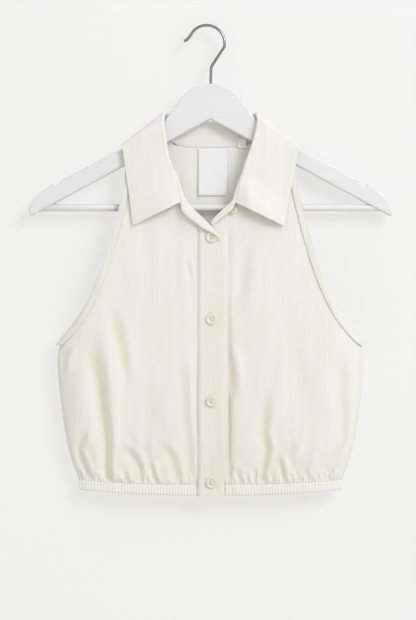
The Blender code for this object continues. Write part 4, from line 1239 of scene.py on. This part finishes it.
# %% Stage
WALL_Y = 17.6
WALL_MIDDLE_Z = -400.0
FLOOR_Z = -1200.0
STAGE_SIZE = 6000.0
WALL_PAINT = "#A3A3A3"
WALL_GLOW = 0.54
SKY_STRENGTH = 0.70
SKY_COLOUR = (1.0, 0.985, 0.93, 1.0)
KEY_POWER = 36.5
KEY_COLOUR = (1.0, 1.02, 1.12)
KEY_SIZE = 1.3
KEY_PLACE = (1600, -2250, 1150)
GARMENT_MIDDLE = (0, 0, -330)
BACK_POWER = 9.0
BACK_SIZE = 1.4
BACK_PLACE = (-900, 1900, 100)


def wall_paint():
    material, tree, output = new_material("matt white emulsion")
    place = add_node(tree, "TexCoord").outputs["Object"]
    roller = add_node(tree, "TexNoise", {"Scale": 90.0, "Detail": 2.0}, {"Vector": place})
    bump = add_node(tree, "Bump", {"Strength": 0.05, "Distance": 0.0002},
                    {"Height": roller.outputs["Fac"]})
    shader = add_node(tree, "BsdfPrincipled",
                      {"Base Color": paint(WALL_PAINT), "Roughness": 0.95, "Specular IOR Level": 0.0,
                       "Emission Color": (1.0, 1.0, 1.0, 1.0), "Emission Strength": WALL_GLOW},
                      {"Normal": bump.outputs["Normal"]})
    back_side = add_node(tree, "NewGeometry").outputs["Backfacing"]
    clear = add_node(tree, "BsdfTransparent")
    mixed = add_node(tree, "MixShader", links={"Fac": back_side, 1: shader.outputs["BSDF"],
                                               2: clear.outputs["BSDF"]})
    tree.links.new(mixed.outputs["Shader"], output.inputs["Surface"])
    return material


def stage_plane(name, place, tilt, material):
    """A large square that the camera sees but that takes no part in lighting the rest."""
    mesh = bmesh.new()
    bmesh.ops.create_grid(mesh, x_segments=1, y_segments=1, size=STAGE_SIZE / 2 * MM)
    bmesh.ops.rotate(mesh, verts=mesh.verts[:], matrix=Matrix.Rotation(math.radians(tilt), 3, "X"))
    bmesh.ops.translate(mesh, verts=mesh.verts[:], vec=Vector(place) * MM)
    item = finished_object(name, data_of(mesh, name), material)
    for ray in ("visible_shadow", "visible_diffuse", "visible_glossy", "visible_transmission"):
        setattr(item, ray, False)
    return item


emulsion = wall_paint()
stage_plane("wall", (0, WALL_Y, WALL_MIDDLE_Z), 90, emulsion)
stage_plane("floor", (0, -STAGE_SIZE / 2 + WALL_Y, FLOOR_Z), 0, emulsion)

# %% Lights
sky = bpy.data.worlds.new("soft studio")
sky.use_nodes = True
background = sky.node_tree.nodes["Background"]
background.inputs["Color"].default_value = SKY_COLOUR
background.inputs["Strength"].default_value = SKY_STRENGTH
bpy.context.scene.world = sky


def soft_box(name, place, power, size):
    data = bpy.data.lights.new(name, "AREA")
    data.energy = power
    data.color = KEY_COLOUR
    data.size = size
    item = linked(name, data)
    item.location = Vector(place) * MM
    aim = Vector(GARMENT_MIDDLE) * MM - item.location
    item.rotation_euler = aim.to_track_quat("-Z", "Y").to_euler()
    return item


key = soft_box("key", KEY_PLACE, KEY_POWER, KEY_SIZE)
back_fill = soft_box("back_fill", BACK_PLACE, BACK_POWER, BACK_SIZE)
print("lights", key.name, back_fill.name)

# %% [markdown]
# ## What each piece stands for
#
# Every piece rides on the one body, and each piece made from a solid replaces it.

# %% Riding and replacing
def stands_for(piece, slot_name, *nodes):
    """A piece rides on the body and replaces its nodes; slot_name is not used."""
    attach(piece, "root")
    if nodes:
        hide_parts(*nodes)


def node_of(piece):
    """The CAD node that a piece is named after: its name without the last word."""
    return piece.name.rsplit("_", 1)[0]


for piece in (right_front, left_front, back, collar, stand, strip):
    stands_for(piece, "cloth", node_of(piece))
for piece, stitches in bindings:
    stands_for(piece, "cloth", node_of(piece))
    stands_for(stitches, "cloth")
for piece in (collar_stitches, stand_stitches, strip_stitches, buttonholes, *button_threads):
    stands_for(piece, "cloth")
for pieces, slot_name in ((hems, "hem_band"), (labels, "label"), (buttons, "button")):
    for piece in pieces:
        stands_for(piece, slot_name, node_of(piece))
stands_for(hanger_wood, "hanger_paint", "hanger_body")
stands_for(hanger_dowel, "hanger_paint", "hanger_bar")
stands_for(hook, "hook_steel", "hanger_hook")

# %% [markdown]
# A cut is the flat size of a sheet, measured along the cloth with its folds pulled out. A panel,
# collar or strip isn't a rectangle, so its own area stands beside its width and length.
# A panel, collar or strip isn't a rectangle, so its own area is given beside its width and length.

# %% The cut of each sheet
Cut = namedtuple("Cut", "width length area held rests_on")
